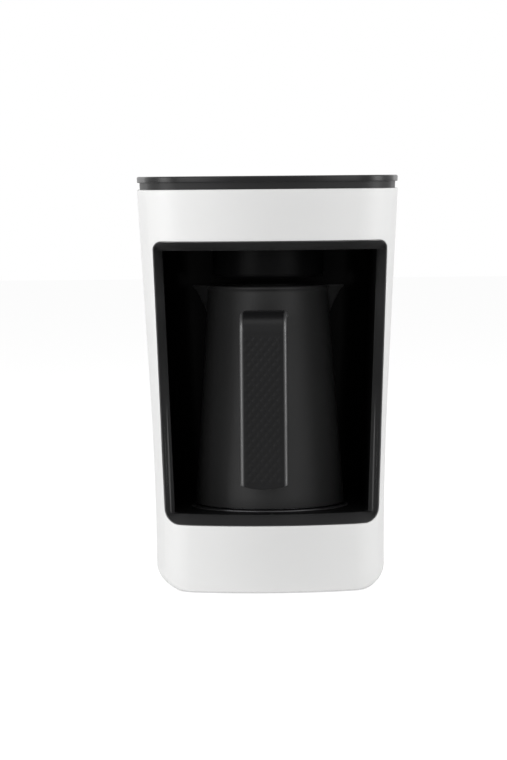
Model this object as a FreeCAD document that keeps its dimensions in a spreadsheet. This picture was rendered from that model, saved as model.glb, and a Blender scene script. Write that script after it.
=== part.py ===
"""Electric Turkish coffee maker: a tapered shell with a heated bay, and a pot with a long handle.

X runs to the right, the front faces -Y and Z is up, in millimetres. The origin lies on the
table, under the middle of the machine. Every driving size is a cell of the sheet "Sizes", and
each sub-part is bound to those cells by expressions.
"""
import FreeCAD, Part
import math
import os
import re

import Sketcher

SIZES = {
    # Overall form, measured over the feet and at the top edge of the white shell
    "overall_height": 248,
    "shell_bottom": 2,
    "base_half_width": 70,
    "base_half_depth": 85,
    "top_flare": 10,
    "curve_height": 122,
    "front_radius": 140,
    "side_radius": 320,
    "rear_radius": 260,
    "front_corner": 26,
    "rear_corner": 24,
    "shell_wall": 2.5,
    "bottom_round": 1.8,
    "top_round": 0.7,
    # Window in the shell's front and the sloping lip of the black liner behind it
    "window_bottom": 40.4,
    "window_top": 209.6,
    "window_half_bottom": 64,
    "window_half_top": 70,
    "window_corner_bottom": 9,
    "window_corner_top": 5,
    "window_clearance": 0.2,
    "lip_width": 5.7,
    "lip_depth": 12,
    "lip_land": 0.35,
    "lip_setback": 0.3,
    "lip_frame": 14,
    "lip_side_back": 19,
    "lip_side_depth": 10,
    "lip_back": 46,
    "flange_width": 4,
    "flange_wall": 2,
    "flange_gap": 0.2,
    # Bay that holds the pot
    "bay_back": 44,
    "bay_corner": 16,
    "bay_wall": 2,
    "boss_overlap": 1,
    "post_step": 0.5,
    # Band and lid on top
    "band_height": 4.2,
    "band_inset": 1.8,
    "skirt_wall": 2,
    "skirt_depth": 6,
    "lid_rim": 3.7,
    "lid_inset": 0.4,
    "lid_plate": 2.6,
    "lid_round": 1,
    "lid_skirt": 6,
    "lid_skirt_wall": 1.6,
    "fit_gap": 0.3,
    # Start button in the lid
    "button_y": -62,
    "button_radius": 9,
    "button_flange": 1.2,
    "button_flange_wall": 1.2,
    "button_guide": 4.2,
    "button_guide_wall": 1.8,
    "button_proud": 0.3,
    "button_dish": 0.8,
    "button_travel": 0.8,
    "button_stem_radius": 2,
    "button_spring_radius": 7,
    "button_spring_wire": 0.7,
    "lamp_x": 8,
    "lamp_y": -44,
    "lamp_radius": 1.5,
    "diode_half": 1.2,
    # Control board under the lid
    "control_half_width": 31,
    "control_front": 80,
    "control_back": 35,
    "control_drop": 14.4,
    "board_wall": 1.6,
    "board_corner": 2,
    "control_boss_x": 26,
    "control_boss_front": 75,
    "control_boss_back": 40,
    "control_boss_radius": 3,
    "switch_side": 6,
    "switch_height": 4.3,
    "buzzer_radius": 6,
    "buzzer_height": 7,
    "buzzer_x": 20,
    # Pot, standing on the hot plate
    "pot_y": -10,
    "pot_turn": -4,
    "pot_seat": 47.3,
    "pot_height": 134.1,
    "pot_base_radius": 45.7,
    "pot_rim_radius": 36.5,
    "pot_wall": 1.5,
    "pot_skirt_lift": 0.5,
    "pot_floor": 1.8,
    "pot_inner_round": 7,
    "rim_bead": 1,
    "rim_bead_height": 2.6,
    "base_disc": 2.6,
    "base_disc_gap": 0.2,
    "spout_reach": 9.5,
    "spout_drop": 17,
    "spout_half_width": 11,
    "spout_tip": 2.2,
    "spout_wall": 1.3,
    "spout_root": 0.2,
    # Handle of the pot
    "handle_face": 83,
    "handle_bottom": 63.4,
    "handle_top": 167.5,
    "handle_half_width": 14,
    "handle_round": 12,
    "handle_edge": 1.6,
    "grip_wall": 4,
    "grip_reach": 57,
    "shell_thickness": 9,
    "arm_height": 9,
    "arm_round": 8,
    "shell_inset": 1.2,
    "handle_sag": 2,
    "bracket_wall": 1.6,
    "bracket_half_width": 11,
    "bracket_margin": 2,
    "weld_gap": 0.05,
    "handle_screw_low": 82,
    "handle_screw_high": 140,
    # Hood above the pot, with the boil sensor
    "hood_radius": 34,
    "hood_gap": 4.6,
    "hood_wall": 2,
    "hood_round": 3,
    "hood_window_hole": 5,
    "hood_boss_x": 25,
    "hood_boss_radius": 3.5,
    "lens_radius": 6.8,
    "lens_wall": 1.5,
    "sensor_board_radius": 15,
    "sensor_board_lift": 4,
    "sensor_post_y": 11,
    "diode_radius": 1.5,
    "diode_x": 3,
    "wire_hole": 8,
    # Hot plate and what hangs under it
    "plate_radius": 47,
    "plate_top": 46.8,
    "plate_wall": 3.8,
    "plate_flange": 3.5,
    "plate_flange_wall": 1.5,
    "plate_hole": 6,
    "seal_wall": 1.2,
    "seal_gap": 0.1,
    "seal_proud": 0.2,
    "element_radius": 3.3,
    "element_ring": 34,
    "element_gap_angle": 50,
    "element_leg": 8,
    "element_clearance": 0.1,
    "element_hole_gap": 0.5,
    "dish_depth": 13,
    "dish_wall": 1.2,
    "lug_radius": 4.5,
    "lug_ring": 55.6,
    "thermostat_x": 26,
    "thermostat_radius": 8,
    "thermostat_height": 9,
    "tab_wall": 0.8,
    "tab_half_width": 3,
    "tab_length": 7,
    "fuse_radius": 2.2,
    "fuse_length": 16,
    "fuse_x": -22,
    # Temperature probe in the middle of the plate
    "probe_proud": 0.2,
    "probe_radius": 5.5,
    "probe_cap": 3,
    "probe_stem": 3,
    "probe_ring": 4.2,
    "probe_ring_wall": 1.7,
    "probe_tail": 1,
    "guide_radius": 8,
    "guide_bore": 6,
    "guide_flange": 2.5,
    "guide_flange_wall": 2,
    "guide_floor": 3,
    "probe_spring_radius": 4.6,
    "probe_spring_wire": 0.8,
    # Base plate, feet, posts and bosses
    "base_inset": 1.6,
    "base_gap": 0.2,
    "base_plate_bottom": 1,
    "base_spigot": 2.5,
    "foot_x": 44,
    "foot_y": 61,
    "foot_radius": 7,
    "foot_height": 2.5,
    "boss_x": 58,
    "boss_y": 50,
    "boss_radius": 4,
    "boss_height": 24,
    "rib_wall": 2.4,
    "post_x": 53.5,
    "post_front": 38,
    "post_rear": 37,
    "post_radius": 4.5,
    "post_top": 36,
    "top_boss_x": 64,
    "top_boss_y": 40,
    "top_boss_height": 13,
    "lug_wall": 2.5,
    "vent_width": 2.5,
    "vent_corner": 1.2,
    "vent_length": 30,
    "vent_pitch": 7,
    "vent_count": 7,
    # Screws
    "screw_radius": 1.4,
    "screw_head": 3,
    "screw_head_height": 1.8,
    "screw_length": 11,
    "dish_screw_length": 4,
    "board_screw_length": 7,
    "grip_screw_length": 9,
    "bore_spare": 4,
    "pilot_gap": 0.05,
    "head_gap": 0.4,
    "head_sink": 0.2,
    # Power board behind the bay
    "board_stand": 6,
    "board_half_width": 50,
    "board_low": 66,
    "board_high": 168,
    "board_boss_x": 42,
    "board_boss_margin": 8,
    "board_boss_radius": 3.5,
    "transformer_width": 34,
    "transformer_height": 30,
    "transformer_depth": 22,
    "relay_width": 19,
    "relay_height": 16,
    "relay_depth": 15,
    "capacitor_radius": 6,
    "capacitor_length": 18,
    "terminal_width": 30,
    "terminal_height": 12,
    "terminal_depth": 13,
    # Inlet for the mains lead
    "inlet_height": 22,
    "inlet_bore": 3.6,
    "inlet_neck": 5.8,
    "inlet_flange": 8.5,
    "inlet_flange_wall": 2.2,
    "inlet_nut": 7.5,
}

# Levels and places that follow from the driving sizes
SHELL_TOP = "(overall_height - lid_rim - band_height)"
SHELL_HEIGHT = f"({SHELL_TOP} - shell_bottom)"
BAY_BOTTOM = "(window_bottom + lip_width)"
BAY_TOP = "(window_top - lip_width)"
BAY_FLOOR_UNDER = f"({BAY_BOTTOM} - bay_wall)"
BAY_ROOF_OVER = f"({BAY_TOP} + bay_wall)"
BAY_REAR_OUT = "(bay_back + bay_wall)"
LID_UNDER = "(overall_height - lid_plate)"
CONTROL_TOP = "(overall_height - control_drop)"
PLATE_UNDER = "(plate_top - plate_wall)"
DISH_FLOOR = f"({PLATE_UNDER} - dish_depth)"
POT_RIM = "(pot_seat + pot_height)"
POT_FLOOR = "(pot_seat + base_disc + pot_floor)"
DISH_TOP = f"({PLATE_UNDER} - plate_flange_wall)"
ELEMENT_LEG_X = "(element_ring * sin(element_gap_angle / 2))"
ELEMENT_LEG_Y = "(element_ring * cos(element_gap_angle / 2))"
GUIDE_LOW = f"({DISH_FLOOR} - guide_flange_wall)"
HOOD_BOTTOM = f"({POT_RIM} + hood_gap)"
BASE_TOP = "(shell_bottom + base_spigot)"
SCREW_BORE = "(screw_radius + pilot_gap)"
HEAD_BORE = "(screw_head + head_gap)"
BOARD_FRONT = f"({BAY_REAR_OUT} + board_stand)"
BOARD_BACK = f"({BOARD_FRONT} + board_wall)"
LUG_UNDER = f"({SHELL_TOP} - skirt_depth)"
BASE_HEAD_DEPTH = "(screw_head_height + head_sink)"
POST_SEAT = "(post_top - rib_wall)"
HANDLE_INNER = "(-(handle_face - grip_wall - shell_thickness))"
HANDLE_SEAT = f"({HANDLE_INNER} - screw_head_height - head_sink)"

# Where the heater dish has its lugs, and the steps of the lofts
LUG_ANGLES = (30, 150, 270)
SECTION_SHARES = (0, 0.25, 0.5, 0.75, 1)
ROUND_ANGLES = (0, 30, 60, 90)

doc = FreeCAD.newDocument("CoffeeMaker")
sheet = doc.addObject("Spreadsheet::Sheet", "Sizes")
for row, (name, value) in enumerate(SIZES.items(), start=1):
    sheet.set(f"A{row}", name)
    sheet.set(f"B{row}", str(value))
    sheet.setAlias(f"B{row}", name)
doc.recompute()

nodes = []


def bound(text):
    """Name the sheet's cell for every size in an expression."""
    return re.sub(r"[a-z]\w*", lambda m: f"Sizes.{m[0]}" if m[0] in SIZES else m[0], text)


def number(text):
    """The present value of an expression."""
    return float(sheet.evalExpression(bound(text)))


def bind(item, **values):
    """Bind properties to expressions; at_x, at_y and at_z are the item's place."""
    for key, text in values.items():
        path = f"Placement.Base.{key[3:]}" if key.startswith("at_") else key
        item.setExpression(path, bound(text))


def piece(label, item):
    """Give a finished sub-part its name."""
    item.Label = label
    nodes.append(item)
    return item


def new_body(name, **place):
    body = doc.addObject("PartDesign::Body", name)
    bind(body, **place)
    return body


def new_sketch(body, plane="XY", offset="0"):
    """A sketch on one of the body's own planes; offset is along the plane's normal."""
    sketch = body.newObject("Sketcher::SketchObject", "profile")
    role = plane + "_Plane"
    support = next(item for item in body.Origin.OriginFeatures if item.Role == role)
    sketch.AttachmentSupport = (support, [""])
    sketch.MapMode = "FlatFace"
    sketch.setExpression("AttachmentOffset.Base.z", bound(offset))
    return sketch


def fix(sketch, geometry, point, x, y):
    """Hold a point of a sketch at the place that two expressions give."""
    for kind, axis, text in (("DistanceX", -2, x), ("DistanceY", -1, y)):
        if text == "0":
            sketch.addConstraint(Sketcher.Constraint("PointOnObject", geometry, point, axis))
            continue
        index = sketch.addConstraint(
            Sketcher.Constraint(kind, -1, 1, geometry, point, number(text)))
        sketch.setExpression(f"Constraints[{index}]", bound(text))


def fix_radius(sketch, geometry, text):
    index = sketch.addConstraint(Sketcher.Constraint("Radius", geometry, number(text)))
    sketch.setExpression(f"Constraints[{index}]", bound(text))


def circle(sketch, x, y, radius):
    centre = FreeCAD.Vector(number(x), number(y))
    index = sketch.addGeometry(Part.Circle(centre, FreeCAD.Vector(0, 0, 1), number(radius)))
    fix(sketch, index, 3, x, y)
    fix_radius(sketch, index, radius)


def arc(centre, radius, start, end):
    """An anticlockwise arc between the directions of two points."""
    first = math.atan2(start.y - centre.y, start.x - centre.x)
    last = math.atan2(end.y - centre.y, end.x - centre.x)
    ring = Part.Circle(centre, FreeCAD.Vector(0, 0, 1), radius)
    return Part.ArcOfCircle(ring, first, last + (math.tau if last < first else 0))


def outline(sketch, corners):
    """A closed outline through (x, y) corners; a third value rounds that corner."""
    count = len(corners)
    spots = [FreeCAD.Vector(number(corner[0]), number(corner[1])) for corner in corners]
    radii = [number(corner[2]) if len(corner) > 2 else 0 for corner in corners]
    enter, leave, centres = list(spots), list(spots), list(spots)
    for i, radius in enumerate(radii):
        if radius:
            back = (spots[i - 1] - spots[i]).normalize()
            ahead = (spots[(i + 1) % count] - spots[i]).normalize()
            half = back.getAngle(ahead) / 2
            enter[i] = spots[i] + back * (radius / math.tan(half))
            leave[i] = spots[i] + ahead * (radius / math.tan(half))
            centres[i] = spots[i] + (back + ahead).normalize() * (radius / math.sin(half))
    first = sketch.GeometryCount
    for i in range(count):
        sketch.addGeometry(Part.LineSegment(leave[i], enter[(i + 1) % count]))
    for i in range(count):
        line_in, line_out = first + (i - 1) % count, first + i
        if not radii[i]:
            sketch.addConstraint(Sketcher.Constraint("Coincident", line_in, 2, line_out, 1))
            fix(sketch, line_out, 1, corners[i][0], corners[i][1])
            continue
        left_turn = (spots[i] - spots[i - 1]).cross(spots[(i + 1) % count] - spots[i]).z > 0
        ends = (enter[i], leave[i]) if left_turn else (leave[i], enter[i])
        bend = sketch.addGeometry(arc(centres[i], radii[i], *ends))
        start, end = (1, 2) if left_turn else (2, 1)
        sketch.addConstraint(Sketcher.Constraint("Tangent", line_in, 2, bend, start))
        sketch.addConstraint(Sketcher.Constraint("Tangent", bend, end, line_out, 1))
        fix_radius(sketch, bend, corners[i][2])
        mark = sketch.addGeometry(Part.Point(spots[i]), True)
        fix(sketch, mark, 1, corners[i][0], corners[i][1])
        sketch.addConstraint(Sketcher.Constraint("PointOnObject", mark, 1, line_in))
        sketch.addConstraint(Sketcher.Constraint("PointOnObject", mark, 1, line_out))


def box_corners(x0, y0, x1, y1, *radius):
    return [(x0, y0, *radius), (x1, y0, *radius), (x1, y1, *radius), (x0, y1, *radius)]


def volume(body):
    return 0 if body.Shape.isNull() else body.Shape.Volume


def feature(body, kind, profile, adds=True, **settings):
    """A PartDesign feature, checked to have added to or taken from the body."""
    before = volume(body)
    item = body.newObject(f"PartDesign::{kind}", kind)
    item.Profile = profile
    for key, value in settings.items():
        if key == "Length" or key in ("Pitch", "Height"):
            item.setExpression(key, bound(value))
        else:
            setattr(item, key, value)
    body.Tip = item
    doc.recompute()
    change = volume(body) - before
    if (change <= 0) if adds else (change >= 0):
        raise RuntimeError(f"{kind} in {body.Name} changed the volume by {change:.3f}")
    return item


def pad(body, profile, length, **settings):
    return feature(body, "Pad", profile, Length=length, **settings)


def pocket(body, profile, length, **settings):
    return feature(body, "Pocket", profile, adds=False, Length=length, **settings)


def revolve(body, profile):
    return feature(body, "Revolution", profile, ReferenceAxis=(profile, ["V_Axis"]), Angle=360)


def groove(body, profile):
    return feature(body, "Groove", profile, adds=False,
                   ReferenceAxis=(profile, ["V_Axis"]), Angle=360)


def loft(body, sections):
    return feature(body, "AdditiveLoft", sections[0], Sections=sections[1:])


def loft_cut(body, sections):
    return feature(body, "SubtractiveLoft", sections[0], adds=False, Sections=sections[1:])


def round_edges(body, radius, wanted):
    """Round the edges of a body's tip that a test on the edge picks."""
    tip = body.Tip
    names = [f"Edge{i}" for i, edge in enumerate(tip.Shape.Edges, start=1) if wanted(edge)]
    item = body.newObject("PartDesign::Fillet", "round")
    item.Base = (tip, names)
    item.setExpression("Radius", bound(radius))
    body.Tip = item
    doc.recompute()
    return item


def at_level(level):
    """A test for the edges that lie at one height."""
    height = number(level)
    return lambda edge: max(abs(edge.BoundBox.ZMin - height),
                            abs(edge.BoundBox.ZMax - height)) < 0.01


def turned(name, corners, **place):
    """A body turned about its own vertical axis from a closed profile of (radius, height)."""
    body = new_body(name, **place)
    profile = new_sketch(body, "XZ")
    outline(profile, corners)
    revolve(body, profile)
    return body


def solid(kind, name, **values):
    item = doc.addObject(f"Part::{kind}", name)
    bind(item, **values)
    return item


def rod(radius, height, x="0", y="0", z="0"):
    return solid("Cylinder", "rod", Radius=radius, Height=height, at_x=x, at_y=y, at_z=z)


def rod_back(radius, length, x, y, z):
    """A rod that runs back along Y from its front end."""
    item = rod(radius, length, x, y, z)
    item.Placement.Rotation = FreeCAD.Rotation(FreeCAD.Vector(1, 0, 0), -90)
    return item


def block(x0, x1, y0, y1, z0, z1):
    return solid("Box", "block", Length=f"({x1}) - ({x0})", Width=f"({y1}) - ({y0})",
                 Height=f"({z1}) - ({z0})", at_x=x0, at_y=y0, at_z=z0)


def join(items, name="join"):
    item = doc.addObject("Part::MultiFuse", name)
    item.Shapes = list(items)
    return item


def cut(base, tools, name="cut"):
    item = doc.addObject("Part::Cut", name)
    item.Base = base
    item.Tool = tools[0] if len(tools) == 1 else join(tools)
    return item


def common(first, second, name="common"):
    item = doc.addObject("Part::Common", name)
    item.Base = first
    item.Tool = second
    return item


def group(items, name="group"):
    """Separate like solids that share one node."""
    item = doc.addObject("Part::Compound", name)
    item.Links = list(items)
    return item


def eased(item, radius, wanted):
    """Round the edges of a Part solid that a test on the edge picks."""
    doc.recompute()
    rounded = doc.addObject("Part::Fillet", "eased")
    rounded.Base = item
    size = number(radius)
    rounded.Edges = [(i, size, size) for i, edge in enumerate(item.Shape.Edges, start=1)
                     if wanted(edge)]
    return rounded


def flare(level):
    """How far the walls stand out from the base outline at a level above the shell's bottom.

    The side rises upright from the base, curves outward and ends in a straight taper.
    """
    up = f"({level} - shell_bottom)"
    curved = f"({up}) ^ 2 / 2"
    straight = f"curve_height * ({up} - curve_height / 2)"
    whole = f"curve_height * ({SHELL_HEIGHT} - curve_height / 2)"
    return f"(top_flare * ({up} < curve_height ? {curved} : {straight}) / ({whole}))"


def meeting(first, reach_first, second, reach_second, side):
    """Where two circles meet, on the side of the X axis that side's sign gives."""
    span = second - first
    along = (reach_first ** 2 - reach_second ** 2 + span.Length ** 2) / (2 * span.Length)
    off = math.sqrt(reach_first ** 2 - along ** 2)
    normal = FreeCAD.Vector(-span.y, span.x, 0) / span.Length
    middle = first + span * (along / span.Length)
    return max((middle + normal * off, middle - normal * off), key=lambda spot: spot.y * side)


def plan_outline(body, level, inset):
    """The machine's outline in plan at one level, drawn in by inset.

    Four shallow arcs are the front, the sides and the rear, and four corner arcs join them.
    """
    sketch = new_sketch(body, "XY", level)
    grow = f"{flare(level)} - ({inset})"
    walls = [  # centre x, centre y, radius, one for each side, anticlockwise from the front
        ("0", "front_radius - base_half_depth", "front_radius"),
        ("base_half_width - side_radius", "0", "side_radius"),
        ("0", "base_half_depth - rear_radius", "rear_radius"),
        ("side_radius - base_half_width", "0", "side_radius"),
    ]
    corners = ["front_corner", "rear_corner", "rear_corner", "front_corner"]
    centres = [FreeCAD.Vector(number(x), number(y)) for x, y, _ in walls]
    radii = [number(wall[2]) for wall in walls]
    middles = []
    for i, corner in enumerate(corners):
        after = (i + 1) % 4
        spot = meeting(centres[i], radii[i] - number(corner),
                       centres[after], radii[after] - number(corner),
                       -1 if corner == "front_corner" else 1)
        spot.x = abs(spot.x) * (1 if i < 2 else -1)
        middles.append(spot)
    for i in range(4):
        after, corner = (i + 1) % 4, middles[i]
        ahead = corner + (corner - centres[i])
        side = corner + (corner - centres[after])
        wall = sketch.addGeometry(
            arc(centres[i], number(f"{walls[i][2]} + {grow}"), middles[i - 1], corner))
        bend = sketch.addGeometry(arc(corner, number(f"{corners[i]} + {grow}"), ahead, side))
        fix(sketch, wall, 3, walls[i][0], walls[i][1])
        fix_radius(sketch, wall, f"{walls[i][2]} + {grow}")
        fix_radius(sketch, bend, f"{corners[i]} + {grow}")
    for i in range(8):
        sketch.addConstraint(Sketcher.Constraint("Tangent", i, 2, (i + 1) % 8, 1))
    return sketch


def form_sections(body, inset, low="shell_bottom", high=SHELL_TOP):
    return [plan_outline(body, f"({low} + ({high} - {low}) * {share})", inset)
            for share in SECTION_SHARES]


def rim_sections(body, level, radius, upward):
    """The sections of a quarter round that ends the form at its top or bottom edge."""
    way = "+" if upward else "-"
    return [plan_outline(body, f"({level} {way} {radius} * sin({angle}))",
                         f"{radius} * (1 - cos({angle}))") for angle in ROUND_ANGLES]


def form(inset):
    """The whole machine's tapered form as one solid, drawn in by inset."""
    body = new_body("form")
    loft(body, form_sections(body, inset))
    return body


def window_corners(grow):
    """The window's four corners in the front view, moved out by grow."""
    low, high = f"window_bottom - ({grow})", f"window_top + {grow}"
    wide_low, wide_high = f"window_half_bottom + {grow}", f"window_half_top + {grow}"
    return [
        (f"-({wide_low})", low, f"window_corner_bottom + {grow}"),
        (wide_low, low, f"window_corner_bottom + {grow}"),
        (wide_high, high, f"window_corner_top + {grow}"),
        (f"-({wide_high})", high, f"window_corner_top + {grow}"),
    ]


def window_prism(grow):
    body = new_body("window_prism")
    profile = new_sketch(body, "XZ", "lip_back")
    outline(profile, window_corners(grow))
    pad(body, profile, "base_half_depth + top_flare")
    return body


def side_inner_x(level, y):
    """Where the inner face of the shell's side wall lies, at a level and a distance from X."""
    reach = f"(side_radius + {flare(level)} - shell_wall)"
    return f"(base_half_width - side_radius + sqrt({reach} ^ 2 - ({y}) ^ 2))"


def front_y(level, x):
    """Where the shell's outer front face lies, at a level and a distance from the middle."""
    reach = f"(front_radius + {flare(level)})"
    return f"(front_radius - base_half_depth - sqrt({reach} ^ 2 - ({x}) ^ 2))"


def rear_y(level, x):
    """Where the shell's outer rear face lies, at a level and a distance from the middle."""
    reach = f"(rear_radius + {flare(level)})"
    return f"(base_half_depth - rear_radius + sqrt({reach} ^ 2 - ({x}) ^ 2))"


def wall_bosses(body, level, height, x, y, bore_depth, from_top):
    """Four screw bosses, each tied to the side wall by a rib, with a blind pilot bore."""
    wall_x = f"({side_inner_x(level, y)} + shell_wall / 2)"
    bosses = new_sketch(body, "XY", level)
    ribs = new_sketch(body, "XY", level)
    bores = new_sketch(body, "XY", f"{level} + {height}" if from_top else level)
    for side in ("", "-"):
        for end in ("", "-"):
            circle(bosses, f"{side}{x}", f"{end}{y}", "boss_radius")
            circle(bores, f"{side}{x}", f"{end}{y}", SCREW_BORE)
            near, far = f"{side}{x}", f"{side}{wall_x}"
            left, right = (near, far) if side == "" else (far, near)
            outline(ribs, box_corners(left, f"{end}{y} - rib_wall / 2",
                                      right, f"{end}{y} + rib_wall / 2"))
    pad(body, bosses, height)
    pad(body, ribs, height)
    pocket(body, bores, bore_depth, Reversed=not from_top)


def outer_housing():
    """White shell: a lofted wall with the front window, screw bosses and the inlet hole."""
    shell = new_body("outer_housing")
    low, high = "(shell_bottom + bottom_round)", f"({SHELL_TOP} - top_round)"
    loft(shell, form_sections(shell, "0", low, high))
    loft(shell, rim_sections(shell, low, "bottom_round", False))
    loft(shell, rim_sections(shell, high, "top_round", True))
    loft_cut(shell, form_sections(shell, "shell_wall"))
    window = new_sketch(shell, "XZ", "0")
    outline(window, window_corners("0"))
    pocket(shell, window, "base_half_depth + top_flare + lip_depth", Reversed=True)
    wall_bosses(shell, BASE_TOP, "boss_height", "boss_x", "boss_y",
                "screw_length + bore_spare", False)
    top_level = f"({LUG_UNDER} - top_boss_height)"
    wall_bosses(shell, top_level, "top_boss_height", "top_boss_x", "top_boss_y",
                "screw_length", True)
    inlet = new_sketch(shell, "XZ", "-base_half_depth / 2")
    circle(inlet, "0", "inlet_height", "inlet_neck + base_gap")
    pocket(shell, inlet, "base_half_depth")
    piece("outer_housing", shell)


def bay_plan(body, level, grow, front, share):
    """One level of the bay in plan; share runs from 0 at its floor to 1 at its roof."""
    inner = f"(window_half_bottom - lip_width + (window_half_top - window_half_bottom) * {share})"
    half = f"{inner} + {grow}"
    sketch = new_sketch(body, "XY", level)
    corner = f"bay_corner + {grow}"
    outline(sketch, [(f"-({half})", front), (half, front),
                     (half, f"bay_back + {grow}", corner),
                     (f"-({half})", f"bay_back + {grow}", corner)])
    return sketch


def bay_block(grow, front):
    """The bay's room, or with grow the outside of its walls, as one tapered block."""
    body = new_body("bay_block")
    loft(body, [bay_plan(body, f"({BAY_BOTTOM} - {grow})", grow, front, "0"),
                bay_plan(body, f"({BAY_TOP} + {grow})", grow, front, "1")])
    return body


def funnel():
    """The space in front of the lip: it narrows to the bay at one depth behind the front.

    Cones about the front wall's own axis slope above and below, and leaning planes at the sides.
    """
    low, high = BAY_BOTTOM, BAY_TOP
    land = "window_clearance + lip_land"
    ring = new_body("lip_turn", at_y="front_radius - base_half_depth")
    profile = new_sketch(ring, "XZ")
    points = []
    for level, edge in ((low, f"(window_bottom + {land})"), (high, f"(window_top - ({land}))")):
        inner = f"(front_radius + {flare(level)} - lip_depth)"
        outer = f"(front_radius + {flare(edge)})"
        points.append([("front_radius / 2", level), (inner, level),
                       (f"{outer} * 2 - {inner}", f"{edge} * 2 - {level}")])
    outline(profile, points[0] + points[1][::-1])
    revolve(ring, profile)
    sides = new_body("lip_sides")
    lean = "(window_half_top - window_half_bottom) / (window_top - window_bottom)"
    plans = []
    for level, edge, way in ((low, "window_half_bottom", -1), (high, "window_half_top", 1)):
        past = f"lip_width * 3 * {way}"
        narrow = f"({edge} - lip_width + {lean} * {past})"
        wide = f"{narrow} + (lip_width - lip_land) * 6"
        inner_y = f"({front_y(level, edge)} + lip_side_back)"
        front = f"{inner_y} - lip_side_depth * 6"
        sketch = new_sketch(sides, "XY", f"{level} + {past}")
        outline(sketch, [(f"-{narrow}", "-lip_back / 2"), (f"-{narrow}", inner_y),
                         (f"-({wide})", front), (wide, front),
                         (narrow, inner_y), (narrow, "-lip_back / 2")])
        plans.append(sketch)
    loft(sides, plans)
    return common(common(ring, sides), window_prism(f"-({land})"), "funnel")


def cavity_liner():
    """Black liner: the sloping lip, a flange behind the shell, and the bay's five walls."""
    frame = common(cut(form("lip_setback"), [form("lip_frame")]),
                   window_prism("-window_clearance"), "lip_frame")
    flange_out = "shell_wall + flange_gap"
    flange = common(cut(form(flange_out), [form(f"{flange_out} + flange_wall")]),
                    window_prism("flange_width"), "flange")
    far_front = "-base_half_depth - top_flare - lip_depth"
    tub = bay_block("bay_wall", "-(lip_back + bay_wall)")
    nose = common(bay_block("bay_wall", far_front), form("lip_frame - flange_wall / 2"), "nose")
    outside = [frame, flange, tub, nose]
    through = "bay_wall * 4"
    holes = [bay_block("0", far_front), funnel(),
             rod("plate_radius + seal_wall + base_disc_gap", through, y="pot_y",
                 z=f"{BAY_BOTTOM} - {through} / 2"),
             rod("wire_hole", through, y="pot_y", z=f"{BAY_TOP} - {through} / 2")]
    for side in ("", "-"):
        for y in ("-post_front", "post_rear"):
            outside.append(rod("post_radius - post_step",
                               f"{BAY_FLOOR_UNDER} - post_top + boss_overlap",
                               f"{side}post_x", y, "post_top"))
            holes.append(rod(SCREW_BORE, f"{BAY_FLOOR_UNDER} - post_top + bay_wall / 2",
                             f"{side}post_x", y, "post_top"))
        holes.append(rod(SCREW_BORE, through, f"{side}hood_boss_x", "pot_y",
                         f"{BAY_TOP} - {through} / 2"))
        for z in ("board_low + board_boss_margin", "board_high - board_boss_margin"):
            outside.append(rod_back("board_boss_radius", "board_stand + boss_overlap",
                                    f"{side}board_boss_x", f"{BAY_REAR_OUT} - boss_overlap", z))
            holes.append(rod_back(SCREW_BORE, "board_stand",
                                  f"{side}board_boss_x", f"{BAY_REAR_OUT}", z))
    for x, y in lug_places():
        outside.append(rod("lug_radius", f"{BAY_FLOOR_UNDER} - {DISH_TOP} + boss_overlap",
                           x, y, DISH_TOP))
        holes.append(rod(SCREW_BORE, f"{BAY_FLOOR_UNDER} - {DISH_TOP} + bay_wall / 2",
                         x, y, DISH_TOP))
    piece("cavity_liner", cut(join(outside, "liner_outside"), holes))


def lug_places():
    """Where the heater dish is screwed to the bosses under the bay's floor."""
    return [(f"(lug_ring * cos({angle}))", f"(pot_y + lug_ring * sin({angle}))")
            for angle in LUG_ANGLES]


def screw(x, y, z, downward=True, length="screw_length"):
    """A pan-head screw; z is the face that its head seats on."""
    shank_low = f"{z} - {length}" if downward else f"{z} - screw_radius / 2"
    head_low = z if downward else f"{z} - screw_head_height"
    shank = rod("screw_radius", f"{length} + screw_radius / 2", x, y, shank_low)
    head = rod("screw_head", "screw_head_height", x, y, head_low)
    crown = f"{z} + screw_head_height" if downward else f"{z} - screw_head_height"
    return join([shank, eased(head, "screw_head_height / 3", at_level(crown))], "screw")


def screw_forward(x, y, z, length):
    """A pan-head screw that is driven in from behind; y is the face under its head."""
    shank = rod_back("screw_radius", f"{length} + screw_radius / 2", x, f"{y} - {length}", z)
    head = rod_back("screw_head", "screw_head_height", x, y, z)
    return join([shank, head], "screw")


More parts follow.
